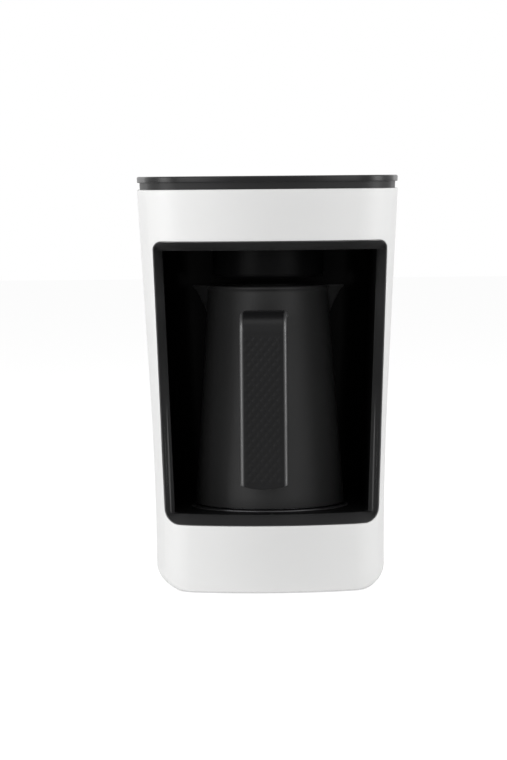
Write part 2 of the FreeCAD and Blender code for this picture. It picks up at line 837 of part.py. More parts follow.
def base_plate():
    """Black base: a flange under the shell, a spigot inside it, posts and vent slots."""
    base = new_body("base_plate")
    pad(base, plan_outline(base, "shell_bottom", "base_inset"),
        "shell_bottom - base_plate_bottom", Reversed=True)
    pad(base, plan_outline(base, "shell_bottom", "shell_wall + base_gap"), "base_spigot")
    posts = new_sketch(base, "XY", BASE_TOP)
    recesses = new_sketch(base, "XY", "base_plate_bottom")
    heads = new_sketch(base, "XY", "base_plate_bottom")
    shanks = new_sketch(base, "XY", "base_plate_bottom")
    post_bores = new_sketch(base, "XY", "base_plate_bottom")
    for side in ("", "-"):
        for y in ("-post_front", "post_rear"):
            circle(posts, f"{side}post_x", y, "post_radius")
            circle(post_bores, f"{side}post_x", y, HEAD_BORE)
        for end in ("", "-"):
            circle(recesses, f"{side}foot_x", f"{end}foot_y", "foot_radius + base_gap")
            circle(heads, f"{side}boss_x", f"{end}boss_y", HEAD_BORE)
            circle(shanks, f"{side}boss_x", f"{end}boss_y", "screw_radius + base_gap")
    pad(base, posts, f"post_top - {BASE_TOP}")
    pocket(base, recesses, "foot_height - base_plate_bottom", Reversed=True)
    pocket(base, heads, BASE_HEAD_DEPTH, Reversed=True)
    pocket(base, shanks, "base_spigot * 3", Reversed=True)
    pocket(base, post_bores, f"{POST_SEAT} - base_plate_bottom", Reversed=True)
    post_shanks = new_sketch(base, "XY", "base_plate_bottom")
    for side in ("", "-"):
        for y in ("-post_front", "post_rear"):
            circle(post_shanks, f"{side}post_x", y, "screw_radius + base_gap")
    pocket(base, post_shanks, "post_top", Reversed=True)
    slot = new_sketch(base, "XY", "base_plate_bottom")
    start = "-vent_pitch * (vent_count - 1) / 2"
    outline(slot, box_corners(f"{start} - vent_width / 2", "-vent_length / 2",
                              f"{start} + vent_width / 2", "vent_length / 2", "vent_corner"))
    opening = pocket(base, slot, "base_spigot * 3", Reversed=True)
    row = base.newObject("PartDesign::LinearPattern", "vents")
    row.Originals = [opening]
    row.Direction = (slot, ["H_Axis"])
    bind(row, Length="vent_pitch * (vent_count - 1)", Occurrences="vent_count")
    base.Tip = row
    piece("base_plate", base)


def base_fixings():
    feet, short, long = [], [], []
    for side in ("", "-"):
        for end in ("", "-"):
            foot = rod("foot_radius", "foot_height", f"{side}foot_x", f"{end}foot_y", "0")
            feet.append(eased(foot, "foot_height / 4", at_level("0")))
            short.append(screw(f"{side}boss_x", f"{end}boss_y",
                               f"base_plate_bottom + {BASE_HEAD_DEPTH}", False))
        for y in ("-post_front", "post_rear"):
            long.append(screw(f"{side}post_x", y, POST_SEAT, False))
    piece("rubber_feet", group(feet))
    piece("base_screws", group(short))
    piece("liner_screws", group(long))


def top_collar():
    """Black band between shell and lid, with a skirt inside the shell and four screw lugs."""
    collar = new_body("top_collar")
    pad(collar, plan_outline(collar, SHELL_TOP, "band_inset"), "band_height")
    pad(collar, plan_outline(collar, LUG_UNDER, "shell_wall + base_gap"),
        "skirt_depth + band_height / 2")
    inside = "(shell_wall + base_gap + skirt_wall)"
    hollow = plan_outline(collar, f"({SHELL_TOP} + band_height)", inside)
    pocket(collar, hollow, "band_height + skirt_depth")
    lugs = new_sketch(collar, "XY", LUG_UNDER)
    tabs = new_sketch(collar, "XY", LUG_UNDER)
    bores = new_sketch(collar, "XY", LUG_UNDER)
    reach = f"({side_inner_x(LUG_UNDER, 'top_boss_y')} - base_gap - skirt_wall / 2)"
    for side in ("", "-"):
        for end in ("", "-"):
            x, y = f"{side}top_boss_x", f"{end}top_boss_y"
            circle(lugs, x, y, "boss_radius")
            circle(bores, x, y, "screw_radius + base_gap")
            left, right = (x, reach) if side == "" else (f"-{reach}", x)
            outline(tabs, box_corners(left, f"{y} - boss_radius / 2", right,
                                      f"{y} + boss_radius / 2"))
    pad(collar, lugs, "lug_wall")
    pad(collar, tabs, "lug_wall")
    pocket(collar, bores, "lug_wall", Reversed=True)
    piece("top_collar", collar)
    piece("collar_screws", group([
        screw(f"{side}top_boss_x", f"{end}top_boss_y", f"({LUG_UNDER} + lug_wall)")
        for side in ("", "-") for end in ("", "-")]))


def top_cover():
    """Black lid: a rim over the band, a skirt inside it, the button's guide and board bosses."""
    cover = new_body("top_cover")
    rim_low, top = f"({SHELL_TOP} + band_height)", "overall_height"
    pad(cover, plan_outline(cover, rim_low, "lid_inset"), "lid_rim - lid_round")
    loft(cover, [plan_outline(cover, f"({top} - lid_round + lid_round * sin({angle}))",
                              f"(lid_inset + lid_round * (1 - cos({angle})))")
                 for angle in ROUND_ANGLES])
    skirt = "(shell_wall + base_gap + skirt_wall + fit_gap)"
    pad(cover, plan_outline(cover, rim_low, skirt), "lid_skirt", Reversed=True)
    pocket(cover, plan_outline(cover, LID_UNDER, f"({skirt} + lid_skirt_wall)"),
           f"{LID_UNDER} - {rim_low} + lid_skirt")
    guide = new_sketch(cover, "XY", LID_UNDER)
    bosses = new_sketch(cover, "XY", LID_UNDER)
    bore = new_sketch(cover, "XY", "overall_height")
    lamps = new_sketch(cover, "XY", "overall_height")
    pilots = new_sketch(cover, "XY", CONTROL_TOP)
    circle(guide, "0", "button_y", "button_radius + fit_gap + button_guide_wall")
    circle(bore, "0", "button_y", "button_radius + fit_gap")
    for side in ("", "-"):
        circle(lamps, f"{side}lamp_x", "lamp_y", "lamp_radius + pilot_gap")
        for y in ("-control_boss_front", "-control_boss_back"):
            circle(bosses, f"{side}control_boss_x", y, "control_boss_radius")
            circle(pilots, f"{side}control_boss_x", y, SCREW_BORE)
    pad(cover, guide, "button_guide", Reversed=True)
    pad(cover, bosses, f"{LID_UNDER} - {CONTROL_TOP}", Reversed=True)
    pocket(cover, bore, "lid_plate + button_guide")
    pocket(cover, lamps, "lid_plate")
    pocket(cover, pilots, "screw_length - board_wall", Reversed=True)
    piece("top_cover", cover)


def start_button():
    """Round key with a flange that stops it under the guide, and a stem to the switch."""
    guide_low = f"({LID_UNDER} - button_guide)"
    flange_top = f"({guide_low} - fit_gap)"
    flange_low = f"({flange_top} - button_flange)"
    stem_low = f"({CONTROL_TOP} + switch_height + fit_gap + button_travel)"
    outer = "(button_radius + button_flange_wall)"
    button = turned("start_button", [
        ("0", stem_low), ("button_stem_radius", stem_low), ("button_stem_radius", flange_low),
        (outer, flange_low), (outer, flange_top), ("button_radius", flange_top),
        ("button_radius", "overall_height - button_proud", "button_flange / 2"),
        ("button_radius * 0.7", "overall_height - button_proud - button_dish / 8",
         "button_radius"),
        ("0", "overall_height - button_proud - button_dish")], at_y="button_y")
    piece("start_button", button)
    spring("button_spring", "button_spring_radius", "button_spring_wire",
           CONTROL_TOP, flange_low, 4, "button_y")
    lamps = [rod("lamp_radius", f"overall_height - {CONTROL_TOP} - diode_half",
                 f"{side}lamp_x", "lamp_y", f"{CONTROL_TOP} + diode_half") for side in ("", "-")]
    piece("indicator_lenses", group(lamps))


def spring(name, radius, wire, low, high, turns, y):
    """A coil spring between two seats."""
    coil = new_body(name, at_y=y)
    profile = new_sketch(coil, "XZ")
    circle(profile, radius, f"{low} + {wire} / 2", f"{wire} / 2")
    item = coil.newObject("PartDesign::AdditiveHelix", "coil")
    item.Profile = profile
    item.ReferenceAxis = (profile, ["V_Axis"])
    item.Mode = "height-turns-angle"
    item.Turns = turns
    bind(item, Height=f"{high} - {low} - {wire}")
    coil.Tip = item
    piece(name, coil)


def control_board():
    """Board under the lid with its switch and buzzer."""
    board = new_body("control_board")
    plate = new_sketch(board, "XY", CONTROL_TOP)
    outline(plate, box_corners("-control_half_width", "-control_front",
                               "control_half_width", "-control_back", "board_corner"))
    pad(board, plate, "board_wall", Reversed=True)
    parts = new_sketch(board, "XY", CONTROL_TOP)
    bores = new_sketch(board, "XY", CONTROL_TOP)
    for side in ("", "-"):
        outline(parts, box_corners(f"{side}lamp_x - diode_half", "lamp_y - diode_half",
                                   f"{side}lamp_x + diode_half", "lamp_y + diode_half"))
        for y in ("-control_boss_front", "-control_boss_back"):
            circle(bores, f"{side}control_boss_x", y, "screw_radius + base_gap")
    pad(board, parts, "diode_half")
    pocket(board, bores, "board_wall")
    piece("control_board", board)
    half = "switch_side / 2"
    body = block(f"-{half}", half, f"button_y - {half}", f"button_y + {half}",
                 CONTROL_TOP, f"{CONTROL_TOP} + switch_height * 0.8")
    plunger = rod("button_stem_radius * 0.8", "switch_height * 0.4", y="button_y",
                  z=f"{CONTROL_TOP} + switch_height * 0.6")
    piece("start_switch", join([body, plunger]))
    case = rod("buzzer_radius", "buzzer_height", "buzzer_x", "button_y + buzzer_radius / 2",
               CONTROL_TOP)
    mouth = rod("buzzer_radius / 5", "buzzer_height", "buzzer_x",
                "button_y + buzzer_radius / 2", f"{CONTROL_TOP} + buzzer_height * 0.7")
    piece("buzzer", cut(eased(case, "buzzer_radius / 8",
                              at_level(f"{CONTROL_TOP} + buzzer_height")), [mouth]))
    piece("control_screws", group([
        screw(f"{side}control_boss_x", y, f"({CONTROL_TOP} - board_wall)", False)
        for side in ("", "-") for y in ("-control_boss_front", "-control_boss_back")]))


def pot_radius(level, grow="0"):
    """The pot's outer radius at a level, moved out by grow."""
    slope = "(pot_base_radius - pot_rim_radius) / pot_height"
    return f"(pot_base_radius - {slope} * ({level} - pot_seat) + {grow})"


def spout_sections(body, side, inset):
    """The spout's plan at the rim and at its foot, where it runs out into the wall."""
    rim = new_sketch(body, "XY", POT_RIM)
    foot = new_sketch(body, "XY", f"{POT_RIM} - spout_drop")
    way = "" if side > 0 else "-"
    tip = f"{way}(pot_rim_radius + spout_reach - {inset})"
    half, back = f"(spout_half_width - {inset})", f"{way}(pot_rim_radius * 0.8)"
    wall = pot_radius(f"({POT_RIM} - spout_drop)", f"spout_root - {inset}")
    corners = [(back, f"-{half}"), (tip, "-spout_tip / 2"), (tip, "spout_tip / 2"),
               (back, half)]
    outline(rim, corners if side > 0 else corners[::-1])
    corners = [(back, f"-{half} / 3"), (f"{way}{wall}", "-spout_tip / 4"),
               (f"{way}{wall}", "spout_tip / 4"), (back, f"{half} / 3")]
    outline(foot, corners if side > 0 else corners[::-1])
    return [rim, foot]


def with_pot(item, in_place=False):
    """Turn what belongs to the pot about the pot's own axis, by as much as the pot stands turned."""
    holder = item if in_place else group([item])
    holder.Placement.Rotation = FreeCAD.Rotation(FreeCAD.Vector(0, 0, 1), number("pot_turn"))
    holder.setExpression("Placement.Rotation.Angle", bound("pot_turn"))
    if not in_place:
        bind(holder, at_x="pot_y * sin(pot_turn)", at_y="pot_y * (1 - cos(pot_turn))")
    return holder


def pot():
    """Tapered steel pot with a rolled rim, two pouring lips and a bonded base disc."""
    body = turned("pot_body", [
        ("0", "pot_seat + base_disc"),
        (pot_radius("(pot_seat + base_disc)", "-pot_wall"), "pot_seat + base_disc"),
        (pot_radius("pot_seat", "-pot_wall"), "pot_seat + pot_skirt_lift"),
        ("pot_base_radius", "pot_seat + pot_skirt_lift"),
        (pot_radius(f"({POT_RIM} - rim_bead_height)"), f"{POT_RIM} - rim_bead_height"),
        ("pot_rim_radius + rim_bead", f"{POT_RIM} - rim_bead_height * 0.7", "rim_bead / 2"),
        ("pot_rim_radius + rim_bead", POT_RIM, "rim_bead / 2"), ("0", POT_RIM)], at_y="pot_y")
    for side in (1, -1):
        loft(body, spout_sections(body, side, "0"))
    inside = new_sketch(body, "XZ")
    outline(inside, [
        ("0", POT_FLOOR), (pot_radius(POT_FLOOR, "-pot_wall"), POT_FLOOR, "pot_inner_round"),
        (pot_radius(f"({POT_RIM} + pot_wall)", "-pot_wall"), f"{POT_RIM} + pot_wall"),
        ("0", f"{POT_RIM} + pot_wall")])
    groove(body, inside)
    for side in (1, -1):
        loft_cut(body, spout_sections(body, side, "spout_wall"))
    piece("pot_body", with_pot(body, True))
    disc_radius = pot_radius("(pot_seat + base_disc)", "-pot_wall - base_disc_gap")
    disc = turned("pot_base_disc", [
        ("0", "pot_seat"), (disc_radius, "pot_seat", "base_disc / 4"),
        (disc_radius, "pot_seat + base_disc"), ("0", "pot_seat + base_disc")], at_y="pot_y")
    piece("pot_base_disc", disc)


def pot_cone(grow):
    """The pot's outer cone, moved out by grow, to shape what meets its wall."""
    return solid("Cone", "pot_cone", Radius1=f"pot_base_radius + {grow}",
                 Radius2=f"pot_rim_radius + {grow}", Height="pot_height",
                 at_y="pot_y", at_z="pot_seat")


def side_bar(name, corners, half):
    """A bar with one side outline in Y and Z, as wide as twice half."""
    body = new_body(name)
    profile = new_sketch(body, "YZ")
    outline(profile, corners)
    pad(body, profile, f"({half}) * 2", SideType="Symmetric")
    return body


def handle():
    """Handle: a textured grip bent back over a lower shell, and its bracket on the pot."""
    face, back = "-handle_face", "-(handle_face - grip_wall)"
    under = "(handle_top - grip_wall)"
    grip = side_bar("grip_form", [
        (face, "handle_bottom - handle_sag"), (face, "handle_top", "handle_round"),
        ("-grip_reach", "handle_top"), ("-grip_reach", under),
        (back, under, "handle_round - grip_wall"), (back, "handle_bottom - handle_sag")],
        "handle_half_width")
    outer = [f"{face}", "handle_top"]
    round_edges(grip, "handle_edge", lambda edge: is_outer_side(edge, outer))
    front = new_body("handle_front")
    shape = new_sketch(front, "XZ", "grip_reach / 2")
    low, half = "handle_bottom", "handle_half_width"
    wide, high = f"({half} + handle_edge)", "handle_top + handle_edge"
    outline(shape, [(f"-{wide}", f"{low} + handle_sag / 2", "handle_edge"),
                    ("0", f"{low} - handle_sag", "handle_half_width * 3"),
                    (wide, f"{low} + handle_sag / 2", "handle_edge"),
                    (wide, high), (f"-{wide}", high)])
    pad(front, shape, "handle_face")
    inner = HANDLE_INNER
    arm_low = f"({under} - arm_height)"
    shell = side_bar("shell_form", [
        (back, "handle_bottom + shell_inset"), (back, under, "handle_round - grip_wall"),
        ("-pot_rim_radius", under), ("-pot_rim_radius", arm_low),
        (inner, arm_low, "arm_round"),
        (inner, "handle_bottom + shell_inset", "arm_round / 2")],
        "handle_half_width - shell_inset")
    heads, shanks, pilots, screws = [], [], [], []
    for z in ("handle_screw_low", "handle_screw_high"):
        heads.append(rod_back(HEAD_BORE, "handle_face - grip_reach", "0", HANDLE_SEAT, z))
        shanks.append(rod_back(SCREW_BORE, "shell_thickness", "0", back, z))
        pilots.append(rod_back(SCREW_BORE, "grip_wall", "0", f"{back} - grip_wall * 0.6", z))
        screws.append(screw_forward("0", HANDLE_SEAT, z, "grip_screw_length"))
    piece("handle_grip", with_pot(cut(common(grip, front), pilots)))
    piece("handle_screws", with_pot(group(screws)))
    piece("handle_shell", with_pot(
        cut(shell, [pot_cone("weld_gap * 2 + bracket_wall"), *heads, *shanks])))
    plate = cut(pot_cone("weld_gap + bracket_wall"), [pot_cone("weld_gap")])
    window = block("-bracket_half_width", "bracket_half_width", "-handle_face", "pot_y",
                   f"{arm_low} - bracket_margin", f"{under} + bracket_margin")
    piece("handle_bracket", with_pot(common(plate, window)))


def is_outer_side(edge, outer):
    """Whether an edge runs along the grip's outer skin, on either side of it."""
    half = number("handle_half_width")
    if abs(abs(edge.CenterOfMass.x) - half) > 0.01 or edge.BoundBox.XLength > 0.01:
        return False
    face, top, bend = number(outer[0]), number(outer[1]), number("handle_round")
    middle = edge.valueAt((edge.FirstParameter + edge.LastParameter) / 2)
    on_bend = math.hypot(middle.y - face - bend, middle.z - top + bend)
    on_arc = middle.y < face + bend and middle.z > top - bend and abs(on_bend - bend) < 0.1
    return abs(middle.y - face) < 0.01 or abs(middle.z - top) < 0.01 or on_arc


def sensor_hood():
    """Round hood over the pot with the boil sensor: cup, lens and board."""
    low, high = HOOD_BOTTOM, BAY_TOP
    floor = f"({low} + hood_wall)"
    hood = turned("sensor_hood", [
        ("hood_window_hole", low), ("hood_radius", low, "hood_round"), ("hood_radius", high),
        ("hood_radius - hood_wall", high), ("hood_radius - hood_wall", floor),
        ("hood_window_hole", floor)], at_y="pot_y")
    bosses, posts, pilots = (new_sketch(hood, "XY", level) for level in (floor, floor, high))
    for side in ("", "-"):
        circle(bosses, f"{side}hood_boss_x", "0", "hood_boss_radius")
        circle(pilots, f"{side}hood_boss_x", "0", SCREW_BORE)
        circle(posts, "0", f"{side}sensor_post_y", "hood_wall")
    pad(hood, bosses, f"{high} - {floor}")
    pad(hood, posts, "sensor_board_lift")
    pocket(hood, pilots, "screw_length - bay_wall + boss_overlap")
    piece("sensor_hood", hood)
    piece("hood_screws", group([
        screw(f"{side}hood_boss_x", "pot_y", BAY_ROOF_OVER) for side in ("", "-")]))
    lens = turned("sensor_lens", [
        ("0", f"{floor} + lens_wall"), ("0", floor), ("lens_radius", floor),
        ("lens_radius", f"{floor} + lens_wall", "lens_wall / 3")], at_y="pot_y")
    piece("sensor_lens", lens)
    board_low = f"({floor} + sensor_board_lift)"
    chips = [rod("diode_radius", "board_wall", f"{side}diode_x", "pot_y",
                 f"{board_low} - board_wall") for side in ("", "-")]
    board = rod("sensor_board_radius", "board_wall", "0", "pot_y", board_low)
    piece("sensor_board", join([board, *chips]))


def heater():
    """Hot plate in its seal, the ring element, and the dish that clamps them to the bay."""
    flange_top, flange_low = PLATE_UNDER, f"({PLATE_UNDER} - plate_flange_wall)"
    flange_radius = "(plate_radius + plate_flange)"
    plate = turned("hot_plate", [
        ("plate_hole", "plate_top"), ("plate_hole", flange_low), (flange_radius, flange_low),
        (flange_radius, flange_top), ("plate_radius", flange_top),
        ("plate_radius", "plate_top", "plate_flange_wall / 2")], at_y="pot_y")
    piece("hot_plate", plate)
    seal_in, seal_out = "(plate_radius + seal_gap)", "(plate_radius + seal_wall)"
    seal = turned("plate_seal", [
        (seal_in, flange_top), (flange_radius, flange_top), (flange_radius, BAY_FLOOR_UNDER),
        (seal_out, BAY_FLOOR_UNDER), (seal_out, f"{BAY_BOTTOM} + seal_proud"),
        (seal_in, f"{BAY_BOTTOM} + seal_proud")], at_y="pot_y")
    piece("plate_seal", seal)
    dish_wall_in = f"({flange_radius} - dish_wall)"
    dish = turned("heater_dish", [
        ("guide_radius + base_gap", DISH_FLOOR), (flange_radius, DISH_FLOOR, "dish_wall * 2"),
        (flange_radius, flange_low), (dish_wall_in, flange_low),
        (dish_wall_in, f"{DISH_FLOOR} + dish_wall", "dish_wall"),
        ("guide_radius + base_gap", f"{DISH_FLOOR} + dish_wall")], at_y="pot_y")
    lugs, bores, legs = (new_sketch(dish, "XY", level)
                         for level in (DISH_TOP, DISH_TOP, DISH_FLOOR))
    for angle in LUG_ANGLES:
        x, y = f"(lug_ring * cos({angle}))", f"(lug_ring * sin({angle}))"
        circle(lugs, x, y, "lug_radius")
        circle(bores, x, y, "screw_radius + base_gap")
        arm = new_sketch(dish, "XY", DISH_TOP)
        mid_in, mid_out = f"({dish_wall_in} + dish_wall / 2)", "lug_ring"
        across = "lug_radius * 0.8"
        corners = [(mid_in, f"-{across}"), (mid_out, f"-{across}"),
                   (mid_out, across), (mid_in, across)]
        outline(arm, [(f"({r}) * cos({angle}) - ({a}) * sin({angle})",
                       f"({r}) * sin({angle}) + ({a}) * cos({angle})") for r, a in corners])
        pad(dish, arm, "dish_wall", Reversed=True)
    pad(dish, lugs, "dish_wall", Reversed=True)
    pocket(dish, bores, "dish_wall")
    for side in ("", "-"):
        circle(legs, f"{side}{ELEMENT_LEG_X}", f"-{ELEMENT_LEG_Y}", "element_radius + element_hole_gap")
    pocket(dish, legs, "dish_wall", Reversed=True)
    piece("heater_dish", dish)
    piece("dish_screws", group([
        screw(x, y, f"({DISH_TOP} - dish_wall)", False, "dish_screw_length")
        for x, y in lug_places()]))


def heating_element():
    """Tubular element: nearly a full ring under the plate, with two legs through the dish."""
    level = f"({PLATE_UNDER} - plate_flange_wall - element_radius - element_clearance)"
    ring = solid("Torus", "element_ring", Radius1="element_ring", Radius2="element_radius",
                 Angle3="360 - element_gap_angle", at_y="pot_y", at_z=level)
    ring.Placement.Rotation = FreeCAD.Rotation(FreeCAD.Vector(0, 0, 1), -90)
    ring.setExpression("Placement.Rotation.Angle", bound("element_gap_angle / 2 - 90"))
    ends = []
    for side in ("", "-"):
        x, y = f"{side}{ELEMENT_LEG_X}", f"(pot_y - {ELEMENT_LEG_Y})"
        low = f"({DISH_FLOOR} - element_leg)"
        ends.append(solid("Sphere", "knee", Radius="element_radius", at_x=x, at_y=y, at_z=level))
        ends.append(rod("element_radius", f"{level} - {low}", x, y, low))
        ends.append(rod("element_radius / 3", "element_leg / 2", x, y,
                        f"{low} - element_leg / 2"))
    piece("heating_element", join([ring, *ends]))


def heater_safety():
    """Thermostat and thermal fuse, both held against the underside of the dish."""
    top = f"({DISH_FLOOR} - thermostat_height)"
    case = rod("thermostat_radius", "thermostat_height", "thermostat_x", "pot_y", top)
    ear = block("thermostat_x - thermostat_radius * 1.6", "thermostat_x + thermostat_radius * 1.6",
                "pot_y - thermostat_radius / 2", "pot_y + thermostat_radius / 2",
                f"{DISH_FLOOR} - dish_wall", DISH_FLOOR)
    tabs = [block(f"thermostat_x {way} thermostat_radius / 2 - tab_wall / 2",
                  f"thermostat_x {way} thermostat_radius / 2 + tab_wall / 2",
                  "pot_y - tab_half_width", "pot_y + tab_half_width", f"{top} - tab_length", top)
            for way in "+-"]
    piece("thermostat", join([case, ear, *tabs]))
    link = rod_back("fuse_radius", "fuse_length", "fuse_x", "pot_y - fuse_length / 2",
                    f"{DISH_FLOOR} - fuse_radius - dish_wall")
    clip = block("fuse_x - fuse_radius - dish_wall", "fuse_x + fuse_radius + dish_wall",
                 "pot_y - fuse_radius", "pot_y + fuse_radius",
                 f"{DISH_FLOOR} - fuse_radius * 2 - dish_wall * 2", DISH_FLOOR)
    wires = rod_back("fuse_radius / 4", "fuse_length * 2", "fuse_x", "pot_y - fuse_length",
                     f"{DISH_FLOOR} - fuse_radius - dish_wall")
    piece("thermal_fuse", join([link, clip, wires]))


def probe():
    """Sprung temperature probe in the middle of the plate, and the bush that guides it."""
    under, low = f"({PLATE_UNDER} - plate_flange_wall)", GUIDE_LOW
    floor = f"({low} + guide_floor)"
    guide = turned("probe_guide", [
        ("probe_stem + fit_gap", low), ("guide_radius + guide_flange", low),
        ("guide_radius + guide_flange", DISH_FLOOR), ("guide_radius", DISH_FLOOR),
        ("guide_radius", under), ("guide_bore", under), ("guide_bore", floor),
        ("probe_stem + fit_gap", floor)], at_y="pot_y")
    piece("probe_guide", guide)
    top = "(plate_top + probe_proud)"
    cap_low = f"({top} - probe_cap)"
    ring_top = f"({low} - fit_gap)"
    ring_low = f"({ring_top} - probe_ring_wall)"
    sensor = turned("temperature_probe", [
        ("0", f"{ring_low} - probe_tail"), ("probe_stem", f"{ring_low} - probe_tail"),
        ("probe_stem", ring_low),
        ("probe_ring", ring_low), ("probe_ring", ring_top), ("probe_stem", ring_top),
        ("probe_stem", cap_low), ("probe_radius", cap_low),
        ("probe_radius", top, "probe_cap / 4"), ("0", top)], at_y="pot_y")
    piece("temperature_probe", sensor)
    spring("probe_spring", "probe_spring_radius", "probe_spring_wire", floor, cap_low, 5, "pot_y")


def power_board():
    """Power board on bosses behind the bay, with the parts that it carries."""
    board = new_body("power_board")
    plate = new_sketch(board, "XZ", f"-{BOARD_FRONT}")
    outline(plate, box_corners("-board_half_width", "board_low", "board_half_width",
                               "board_high", "board_corner"))
    pad(board, plate, "board_wall", Reversed=True)
    bores = new_sketch(board, "XZ", f"-{BOARD_FRONT}")
    screws = []
    for side in ("", "-"):
        for z in ("board_low + board_boss_margin", "board_high - board_boss_margin"):
            circle(bores, f"{side}board_boss_x", z, "screw_radius + base_gap")
            screws.append(screw_forward(f"{side}board_boss_x", BOARD_BACK, z, "board_screw_length"))
    pocket(board, bores, "board_wall")
    piece("power_board", board)
    piece("power_board_screws", group(screws))
    mid = "(board_low + board_high) / 2"

    def part_box(x, z, width, height, depth):
        return block(f"{x} - ({width}) / 2", f"{x} + ({width}) / 2", BOARD_BACK,
                     f"{BOARD_BACK} + {depth}", f"{z} - ({height}) / 2", f"{z} + ({height}) / 2")

    core_x, core_z = "-(board_half_width / 2 - 2)", f"({mid} + transformer_height / 2)"
    core = part_box(core_x, core_z, "transformer_width", "transformer_height",
                    "transformer_depth * 0.75")
    coil = part_box(core_x, core_z, "transformer_width * 0.6", "transformer_height * 1.25",
                    "transformer_depth")
    piece("transformer", join([core, eased(coil, "transformer_depth / 8", is_standing)]))
    relay = part_box("board_half_width / 2", f"({mid} - relay_height)", "relay_width",
                     "relay_height", "relay_depth")
    piece("heater_relay", eased(relay, "relay_depth / 15", is_standing))
    cans = [eased(rod_back("capacitor_radius", "capacitor_length",
                           f"board_half_width / 2 {way} capacitor_radius * 1.2", BOARD_BACK,
                           f"{mid} + transformer_height / 2"), "capacitor_radius / 6",
                  at_depth(f"{BOARD_BACK} + capacitor_length")) for way in "+-"]
    piece("filter_capacitors", group(cans))
    row_z = f"(board_low + board_boss_margin * 2.4)"
    block_x = "(board_half_width / 4)"
    strip = part_box(f"-{block_x}", row_z, "terminal_width", "terminal_height", "terminal_depth")
    mouths = [solid("Cylinder", "mouth", Radius="terminal_height / 5", Height="terminal_height",
                    at_x=f"-{block_x} + terminal_width * {share} / 3",
                    at_y=f"{BOARD_BACK} + terminal_depth * 0.55",
                    at_z=f"{row_z} - terminal_height * 0.8") for share in (-1, 0, 1)]
    piece("terminal_block", cut(strip, mouths))


def is_standing(edge):
    """Whether an edge runs straight back from the board."""
    return edge.BoundBox.XLength < 0.01 and edge.BoundBox.ZLength < 0.01


def at_depth(place):
    depth = number(place)
    return lambda edge: max(abs(edge.BoundBox.YMin - depth),
                            abs(edge.BoundBox.YMax - depth)) < 0.01


def inlet_gland():
    """Bush in the rear wall where the mains lead enters."""
    out = rear_y("inlet_height", "inlet_flange")
    crown = rear_y("inlet_height", "0")
    inner = f"({out} - shell_wall - base_gap)"
    seat = f"({crown} + base_gap)"
    flange = rod_back("inlet_flange", "inlet_flange_wall", "0", seat, "inlet_height")
    neck = rod_back("inlet_neck", f"{seat} - {inner} + inlet_flange_wall", "0",
                    f"{inner} - inlet_flange_wall", "inlet_height")
    nut = rod_back("inlet_nut", "inlet_flange_wall", "0",
                   f"{inner} - inlet_flange_wall", "inlet_height")
    bore = rod_back("inlet_bore", "shell_wall * 8", "0", f"{inner} - shell_wall * 3",
                    "inlet_height")
    rounded = eased(flange, "inlet_flange_wall / 3", at_depth(f"{seat} + inlet_flange_wall"))
    piece("inlet_gland", cut(join([rounded, neck, nut]), [bore]))


def main():
    outer_housing()
    cavity_liner()
    base_plate()
    base_fixings()
    top_collar()
    top_cover()
    start_button()
    control_board()
    pot()
    handle()
    sensor_hood()
    heater()
    heating_element()
    heater_safety()
    probe()
    power_board()
    inlet_gland()
    write_parts()


def write_parts():
    doc.recompute()
    for item in doc.Objects:
        if "Invalid" in item.State or "Error" in item.State:
            raise RuntimeError(f"{item.Label} failed: {item.State}")
    os.makedirs("parts", exist_ok=True)
    for item in nodes:
        if item.Shape.isNull() or not item.Shape.isValid():
            raise RuntimeError(f"{item.Label} has no valid shape")
        item.Shape.exportStep(f"parts/{item.Label}.step")
        print(item.Label, len(item.Shape.Solids), round(item.Shape.Volume / 1000, 2), "cm3")


main()
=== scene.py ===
import math
import bpy
import bmesh
import numpy as np
from mathutils import Matrix, Vector


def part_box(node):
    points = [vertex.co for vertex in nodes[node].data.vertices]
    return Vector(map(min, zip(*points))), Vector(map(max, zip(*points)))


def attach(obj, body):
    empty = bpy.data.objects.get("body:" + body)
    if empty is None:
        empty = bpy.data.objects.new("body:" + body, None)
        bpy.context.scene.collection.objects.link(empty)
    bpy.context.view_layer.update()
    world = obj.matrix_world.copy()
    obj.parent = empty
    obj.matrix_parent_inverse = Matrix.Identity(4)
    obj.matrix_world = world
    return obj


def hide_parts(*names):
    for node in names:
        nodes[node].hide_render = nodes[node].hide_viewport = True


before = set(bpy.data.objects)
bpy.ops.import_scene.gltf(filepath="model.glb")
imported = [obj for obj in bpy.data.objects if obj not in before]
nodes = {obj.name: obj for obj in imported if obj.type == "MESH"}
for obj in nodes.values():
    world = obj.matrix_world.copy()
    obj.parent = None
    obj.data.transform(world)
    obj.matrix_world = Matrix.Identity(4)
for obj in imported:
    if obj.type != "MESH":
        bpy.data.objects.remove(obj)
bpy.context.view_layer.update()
scene = bpy.context.scene
scene.view_settings.view_transform = "Standard"

# ----------------------------------------------------------
# Camera: a long lens at the height of the lid, a little to the left of the middle and looking
# slightly down, as in the photograph. The picture is 507 x 760 and leans by half a degree.
EYE_DISTANCE = 2.0
EYE_HEIGHT = 0.2466
EYE_TURN = math.radians(-1.3)
AIM = Vector((-0.0093, 0.0, 0.1222))
LEAN = math.radians(-0.5)
PICTURE_HEIGHT = 760
FOCAL_PIXELS = 3244

lens = bpy.data.cameras.new("photo_camera")
lens.sensor_fit = "VERTICAL"
lens.sensor_height = 36
lens.lens = FOCAL_PIXELS * lens.sensor_height / PICTURE_HEIGHT
lens.clip_end = 20
camera = bpy.data.objects.new("photo_camera", lens)
eye = Vector((EYE_DISTANCE * math.sin(EYE_TURN), -EYE_DISTANCE * math.cos(EYE_TURN), EYE_HEIGHT))


def looking(place, aim):
    """The place and turn of something that stands at one point and looks at another."""
    return Matrix.Translation(place) @ (aim - place).to_track_quat("-Z", "Y").to_matrix().to_4x4()


